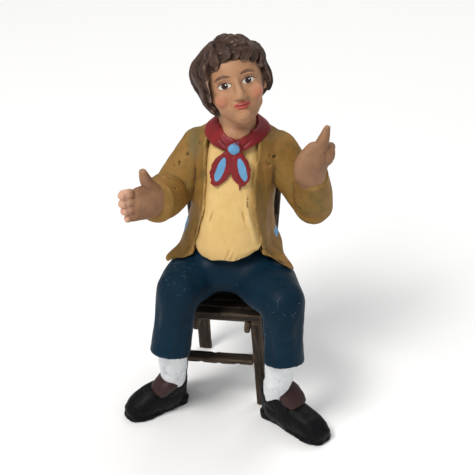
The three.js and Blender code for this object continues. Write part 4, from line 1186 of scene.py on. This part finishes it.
def make_hair():
    cap = pebble(HAIR_CENTRE, HAIR_HALF - 0.25, around=72)
    locks = []
    # the fringe, swept from the crown towards the sitter's left, with a curl over the forehead
    fringe = [
        ([(-58, 68), (-56, 42), (-62, 16), (-68, -6)], 1.35, 0.3),
        ([(-50, 74), (-44, 50), (-50, 26), (-56, 6)], 1.4, 0.8),
        ([(-40, 76), (-26, 56), (-30, 38), (-38, 24)], 1.5, 0.4),
        ([(-30, 80), (-8, 60), (-6, 45), (-20, 36)], 1.55, 0.95),
        ([(-14, 82), (12, 60), (14, 44), (2, 36)], 1.5, 0.5),
        ([(4, 82), (30, 60), (34, 42), (24, 29)], 1.6, 1.0),
        ([(28, 78), (46, 58), (50, 38), (40, 22)], 1.5, 0.5),
        ([(50, 74), (62, 54), (66, 32), (58, 12)], 1.5, 0.9),
        ([(-24, 70), (-4, 68), (14, 62), (18, 53), (4, 50)], 1.15, 1.7),
        ([(2, 60), (18, 58), (34, 50), (30, 42)], 1.1, 1.7),
    ]
    for path, size, lift in fringe:
        locks.append(lock(path, size, lift, wave=3, phase=size * 3))
    # long waves down the sitter's right side
    for k, turn in enumerate(range(-56, -132, -15)):
        low = (-22, -42, -54, -60, -61, -60)[k]
        path = [(turn + 8, 72), (turn + 2, 46), (turn - 2, 18), (turn + 1, -10), (turn + 3, low)]
        locks.append(lock(path, 1.2, 0.1 + 0.7 * (k % 2), wave=10, phase=k * 0.4))
    # the sitter's left side, shorter in front of the ear
    for k, turn in enumerate((76, 91, 106, 121)):
        low = (-14, -30, -42, -50)[k]
        path = [(turn - 8, 66), (turn - 2, 42), (turn + 2, 14), (turn, low)]
        locks.append(lock(path, 1.2, 0.15 + 0.45 * (k % 2), wave=6, phase=k * 0.5 + 1))
    # the back, in two rows down to the nape
    for k, turn in enumerate(range(136, 232, 15)):
        lift = 0.1 + 0.45 * (k % 2)
        upper = [(turn, 74), (turn + 3, 46), (turn - 2, 16), (turn, -8)]
        lower = [(turn + 7, 12), (turn + 9, -12), (turn + 5, -32), (turn + 7, -52)]
        locks.append(lock(upper, 1.25, lift, wave=7, phase=k * 0.6))
        locks.append(lock(lower, 1.2, 0.6 - lift, wave=7, phase=k * 0.7 + 2))
    # the crown's whorl
    for k, turn in enumerate(range(0, 360, 60)):
        path = [(turn - 40, 82), (turn, 74), (turn + 30, 60)]
        locks.append(lock(path, 1.35, 0.1 + 0.3 * (k % 2), wave=2, phase=k))
    clay = Clay("hair", [cap, *locks], 0.13)
    clay.relax(1)
    p = clay.points
    # nothing of the cap shows in front of the face and under the nape
    face = bell(p[:, 0] / 7.4) * soft_step((-p[:, 1] - 1.0) / 3.0)
    hairline = 4.6 - 0.07 * p[:, 0] ** 2
    below = soft_step((hairline - p[:, 2]) / 1.2)
    window = soft_step((6.6 - np.abs(p[:, 0])) / 0.8) * soft_step((-p[:, 1] - 1.8) / 1.5) * below
    p[:, 1] += window * 5.5
    inward = HAIR_CENTRE - p
    nape = soft_step((-6.4 - p[:, 2]) / 1.5) * soft_step((1.8 - p[:, 1]) / 2)
    p += inward * (nape * 0.5)[:, None]
    parting, _ = on_hair(*np.array([(-28, 78), (-40, 56), (-52, 34), (-60, 14)]).T, 0.9)
    clay.dent(parting, 1.5, 0.9)
    clay.rough(1.1, 0.09, 71)
    clay.settle()
    clay.place(hair_finish(), HEAD, relief_rounds=24)


# Neckerchief

KNOT = (1.1, -5.7, 71.6)


def ragged(seed, depth=0.22):
    """Swelling that gives the two edges of a band an uneven outline."""
    noise = np.random.default_rng(seed).uniform(-1, 1, 40)

    def swell(along, angle):
        sideways = np.cos(np.radians(angle))
        at = along * 18 + np.where(sideways > 0, 0, 19)
        low = np.floor(at).astype(int)
        f = soft_step(at - low)
        wander = noise[low % 40] * (1 - f) + noise[(low + 1) % 40] * f
        return depth * wander * np.abs(sideways) ** 4
    return swell


def make_neckerchief():
    def band(side, wide, seed):
        stations = [(0.8, 7.6, 75.0, 2.2, 0.6), (0.8 + side * 4.9, 5.7, 74.7, 2.3, 0.6),
                    (0.8 + side * 6.2, 1.5, 74.1, wide, 0.65),
                    (0.8 + side * 4.0, -3.0, 73.0, wide * 0.95, 0.65),
                    (KNOT[0] + side * 0.4, KNOT[1] + 0.8, KNOT[2] + 0.3, 1.6, 0.7)]
        across = np.array([(0.24, 0.54, -0.72), (0.6, 0.35, -0.7), (0.8, 0, -0.6), (0.62, -0.12, -0.77),
                           (0.5, -0.2, -0.8)]) * (side, 1, 1)
        return loft(stations, across=across, around=48, rings=60, square=3.2, swell=ragged(seed))

    def tail(side, low, seed):
        stations = [(KNOT[0] + side * 0.2, KNOT[1] + 0.2, KNOT[2] - 0.4, 0.8, 0.7),
                    (KNOT[0] + side * 1.9 - 0.5, KNOT[1] - 0.9, KNOT[2] - 3.6, 2.35, 0.6),
                    (KNOT[0] + side * 2.9 - 0.7, KNOT[1] - 1.5, KNOT[2] - 6.8, 2.2, 0.55), (*low, 0.9, 0.45)]
        return loft(stations, around=48, rings=40, dome=0.9, square=2.8, swell=ragged(seed, 0.28))

    spike = loft([(3.0, -7.4, 64.5, 0.5, 0.4), (2.9, -7.7, 62.8, 0.35, 0.3), (2.85, -7.9, 61.6, 0.15, 0.15)])
    shapes = [band(-1, 2.3, 81), band(1, 1.8, 82), pebble(KNOT, (2.0, 1.1, 1.8)),
              tail(-1, (-3.5, -7.7, 62.8), 83), tail(1, (3.6, -7.7, 63.2), 84),
              pebble((1.2, -6.4, 71.9), (1.45, 0.65, 1.4)), spike]
    clay = Clay("neckerchief", shapes, 0.15)
    clay.relax(3)
    clay.groove([(-3.0, -4.2, 73.2), (-0.6, -5.6, 71.6)], 0.45, 0.25)
    clay.groove([(5.2, -3.6, 73.6), (2.8, -5.4, 71.8)], 0.45, 0.25)
    clay.dent([(8.0, 1.0, 76.0), (6.6, -2.6, 74.8), (4.2, -4.4, 73.4)], 0.7, 0.25)
    clay.groove([(0.9, -6.4, 70.0), (0.2, -6.6, 68.0)], 0.4, 0.3)
    clay.groove([(1.2, -6.4, 70.0), (1.8, -6.6, 68.0)], 0.4, 0.3)
    clay.rough(1.8, 0.07, 85).rough(0.7, 0.025, 86)
    clay.settle().relax(1)
    clay.place(red_finish())


# Shoes, their tongues, and socks

SHOES = {
    "right": {"heel": (-13.4, -11.3), "toe": (-22.2, -20.2), "length": 14.3, "skew": -0.9,
              "sock_top": (-12.2, -18.2, 23), "ankle": (-13.6, -11.9, 6.5, 2.9, 2.9),
              "tongue": [(1.5, 2.2, 9.6, 2.5, 1.5), (3.1, 2.1, 9.1, 2.9, 1.9), (4.9, 1.9, 8.0, 2.9, 1.9),
                         (6.4, 1.6, 6.9, 2.4, 1.5)]},
    "left": {"heel": (12.5, -13.4), "toe": (25.8, -22.0), "length": 17.6, "skew": 0.5,
             "sock_top": (15.1, -19.2, 23.5), "ankle": (13.1, -14.0, 6.5, 3.3, 3.3),
             "tongue": [(3.4, -0.3, 12.3, 2.2, 1.2), (4.7, -0.2, 10.6, 3.1, 1.8), (6.5, 0.0, 8.8, 3.3, 1.9),
                        (8.2, 0.0, 7.6, 2.7, 1.4)]},
}


def make_foot(side, heel, toe, length, skew, sock_top, ankle, tongue):
    axis = np.array([toe[0] - heel[0], toe[1] - heel[1], 0.0])
    axis /= np.linalg.norm(axis)
    across = np.array([-axis[1], axis[0], 0.0])

    def along(s, z, sideways=0.0):
        x, y = (heel[k] + axis[k] * s + across[k] * sideways for k in (0, 1))
        return (x, y, z)

    def stations(*rows):
        """Loft stations from rows (along, height, sideways, half-width, half-depth)."""
        return [(*along(s, z, sideways), wide, deep) for s, z, sideways, wide, deep in rows]

    # an upper that falls from the instep to a round toe, a rolled collar round the heel, and the sole
    upper = loft(stations(
        (-1.3, 3.8, 0, 2.3, 3.5), (0.4, 3.9, 0, 3.4, 3.8), (0.25 * length, 3.9, 0, 3.8, 3.9),
        (0.45 * length, 3.8, 0.2 * skew, 3.6, 3.9), (0.63 * length, 3.2, 0.5 * skew, 3.7, 3.5),
        (0.78 * length, 2.5, 0.8 * skew, 3.6, 2.7), (0.89 * length, 1.9, skew, 2.7, 1.8),
    ), across=across, square=2.3, dome=0.85, around=56)
    # the collar starts low on this side of the shoe and ends higher on the other one
    outer = -1 if side == "right" else 1
    collar = loft(stations(
        (0.36 * length, 3.8, outer * 2.9, 1.8, 0.6), (0.17 * length, 5.2, outer * 3.4, 2.2, 0.65),
        (-0.9, 7.0, outer * 2.9, 2.4, 0.7), (-2.4, 7.6, 0, 2.5, 0.7), (-0.9, 8.0, -outer * 2.9, 2.4, 0.7),
        (0.17 * length, 7.3, -outer * 3.4, 2.2, 0.65), (0.36 * length, 5.8, -outer * 2.9, 1.8, 0.6),
    ), across=(0, 0, outer), around=32)
    sole = loft(stations(
        (-0.9, 0.6, 0, 2.1, 0.8), (0.9, 0.6, 0, 2.6, 0.8), (0.3 * length, 0.6, 0, 2.8, 0.8),
        (0.72 * length, 0.6, 0.7 * skew, 3.9, 0.8), (0.88 * length, 0.6, skew, 3.1, 0.8),
    ), across=across, square=3.0, dome=2.4, around=64)
    heel_block = loft(stations((-0.6, 0.0, 0, 2.6, 2.4), (-0.9, 2.0, 0, 2.7, 2.5)), across=across,
                      square=2.6, dome=0.2)
    clay = Clay(f"shoe_{side}", [upper, collar, sole, heel_block], 0.17)
    clay.relax(3)
    if side == "right":
        clay.pit((-20.1, -17.5, 7.4), 0.6, -0.6)
    for k, turn in enumerate(np.radians(range(0, 360, 24))):
        spot = along(0.45 * length + math.cos(turn) * 0.56 * length, 1.0, 3.9 * math.sin(turn))
        clay.pit(spot, 0.9, 0.25 * (-1) ** k)
    clay.rough(3.0, 0.18, 91).rough(1.2, 0.09, 92).rough(0.5, 0.03, 93)
    clay.settle().relax(1).rest_on(0.0)
    clay.place(SHOE_PAINT)

    flap = loft([(*along(s, z, t), wide, deep) for s, t, z, wide, deep in tongue], across=across, square=2.8,
                dome=0.6)
    clay = Clay(f"tongue_{side}", [flap], 0.15)
    clay.relax(2).rough(2.0, 0.15, 94).rough(0.7, 0.04, 95)
    clay.settle()
    clay.place(TONGUE_PAINT)

    sock_top, ankle = np.array(sock_top, float), np.array(ankle, float)
    middle = ((sock_top[0] + ankle[0]) / 2, sock_top[1] * 0.6 + ankle[1] * 0.4, 14.5)
    sock = Clay(f"sock_{side}", [loft([ankle, (*middle, 3.4, 3.4), (*sock_top, 3.7, 3.7)],
                                      flat_start=True, flat_end=True, around=64)], 0.18)
    sock.relax(2)

    def on_sock(turn, z, rise):
        """A place on the sock at a turn, risen a little from the height z."""
        forward = middle[1] + 1.6 - (z - 14) * 0.45
        return np.array([middle[0] + math.cos(turn) * 3.7, forward + math.sin(turn) * 3.7, z + rise])

    # slanting folds that wind round the sock
    for k in range(7):
        z = 8.5 + k * 1.9
        turn = math.radians(-150 + 37 * k)
        a, b = on_sock(turn, z, 0), on_sock(turn + 0.9, z, 1.3)
        sock.groove([a, (a + b) / 2 + (0, -0.3, 0), b], 0.55, 0.34)
    sock.rough(2.0, 0.22, 96).rough(0.8, 0.07, 97)
    sock.settle()
    sock.place(SOCK_PAINT)


make_jacket(make_trousers())
make_shirt()
SKIN_HANDS = skin_finish("painted_hands", shaded_hands=True)
for hand_side, hand_sizes in HANDS.items():
    make_hand(hand_side, **hand_sizes)
make_head()
make_hair()
make_neckerchief()
SHOE_PAINT, TONGUE_PAINT, SOCK_PAINT = shoe_finish(), tongue_finish(), sock_finish()
for foot_side, foot_sizes in SHOES.items():
    make_foot(foot_side, **foot_sizes)


# The chair: every stick keeps its form, with worn edges, nicks and open grain

WOOD_PAINT = wood_finish()
STRETCHER_REACH = 0.12
NICKS = 7

# How far along the grain each stick's paint is moved from the one before it
GRAIN_SHIFT = 31.7


def as_column(way):
    """A direction made to point towards its own main axis."""
    return way * np.sign(way[np.argmax(np.abs(way))])


def make_stick(name, node, number):
    corners = np.array([node.matrix_world @ v.co for v in node.data.vertices]) / MM - SKETCH_TO_FRAME
    middle = (corners.min(0) + corners.max(0)) / 2
    ways = np.linalg.svd(corners - corners.mean(0), full_matrices=False)[2]
    along, wide = as_column(ways[0]), as_column(ways[1])
    to_sketch = np.eye(4)
    to_sketch[:3, :3] = np.stack([wide, np.cross(along, wide), along], axis=1)
    to_sketch[:3, 3] = middle
    local = (corners - middle) @ to_sketch[:3, :3]
    half = np.abs(local).max(0)
    if name == "front_stretcher":
        local[:, 2] *= 1 + STRETCHER_REACH / half[2]
    clay = Clay(f"worn_{name}", [(local, [list(face.vertices) for face in node.data.polygons])], 0.24)
    clay.relax(2)
    chance = np.random.default_rng(number)
    for _ in range(NICKS):
        side = chance.choice([-1, 1], 2)
        clay.pit((side[0] * half[0], side[1] * half[1], chance.uniform(-0.95, 0.95) * half[2]), 0.9, 0.22)
    clay.offset += clouds(clay.points * (1, 1, 0.12) + number, 0.5, 101) * 0.05
    clay.offset += clouds(clay.points * (1, 1, 0.3) + number, 1.8, 102) * 0.09
    clay.settle()
    clay.place(WOOD_PAINT, to_sketch, slot="stained_wood", replaced=name, shift=(0, 0, number * GRAIN_SHIFT))


sticks = sorted(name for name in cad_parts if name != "figure")
for stick_number, stick_name in enumerate(sticks):
    make_stick(stick_name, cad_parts[stick_name], stick_number)
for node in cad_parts.values():
    node.data.materials.clear()
    node.data.materials.append(WOOD_PAINT)


# Floor

def make_floor():
    mesh = bpy.data.meshes.new("floor")
    reach = 3.0
    mesh.from_pydata([(-reach, -reach, 0), (reach, -reach, 0), (reach, reach, 0), (-reach, reach, 0)], [],
                     [(0, 1, 2, 3)])
    desk = Desk("pale_floor", sculpted=False)
    mesh.materials.append(desk.finish(tone(250, 250, 250), 0.9, desk.noise(1.0), 0.001, 0.2))
    floor = new_object("floor", mesh)


def make_sky():
    world = bpy.data.worlds.new("studio")
    world.use_nodes = True
    world.node_tree.nodes["Background"].inputs["Color"].default_value = (1, 1, 1, 1)
    world.node_tree.nodes["Background"].inputs["Strength"].default_value = 0.36
    bpy.context.scene.world = world


make_floor()
make_sky()
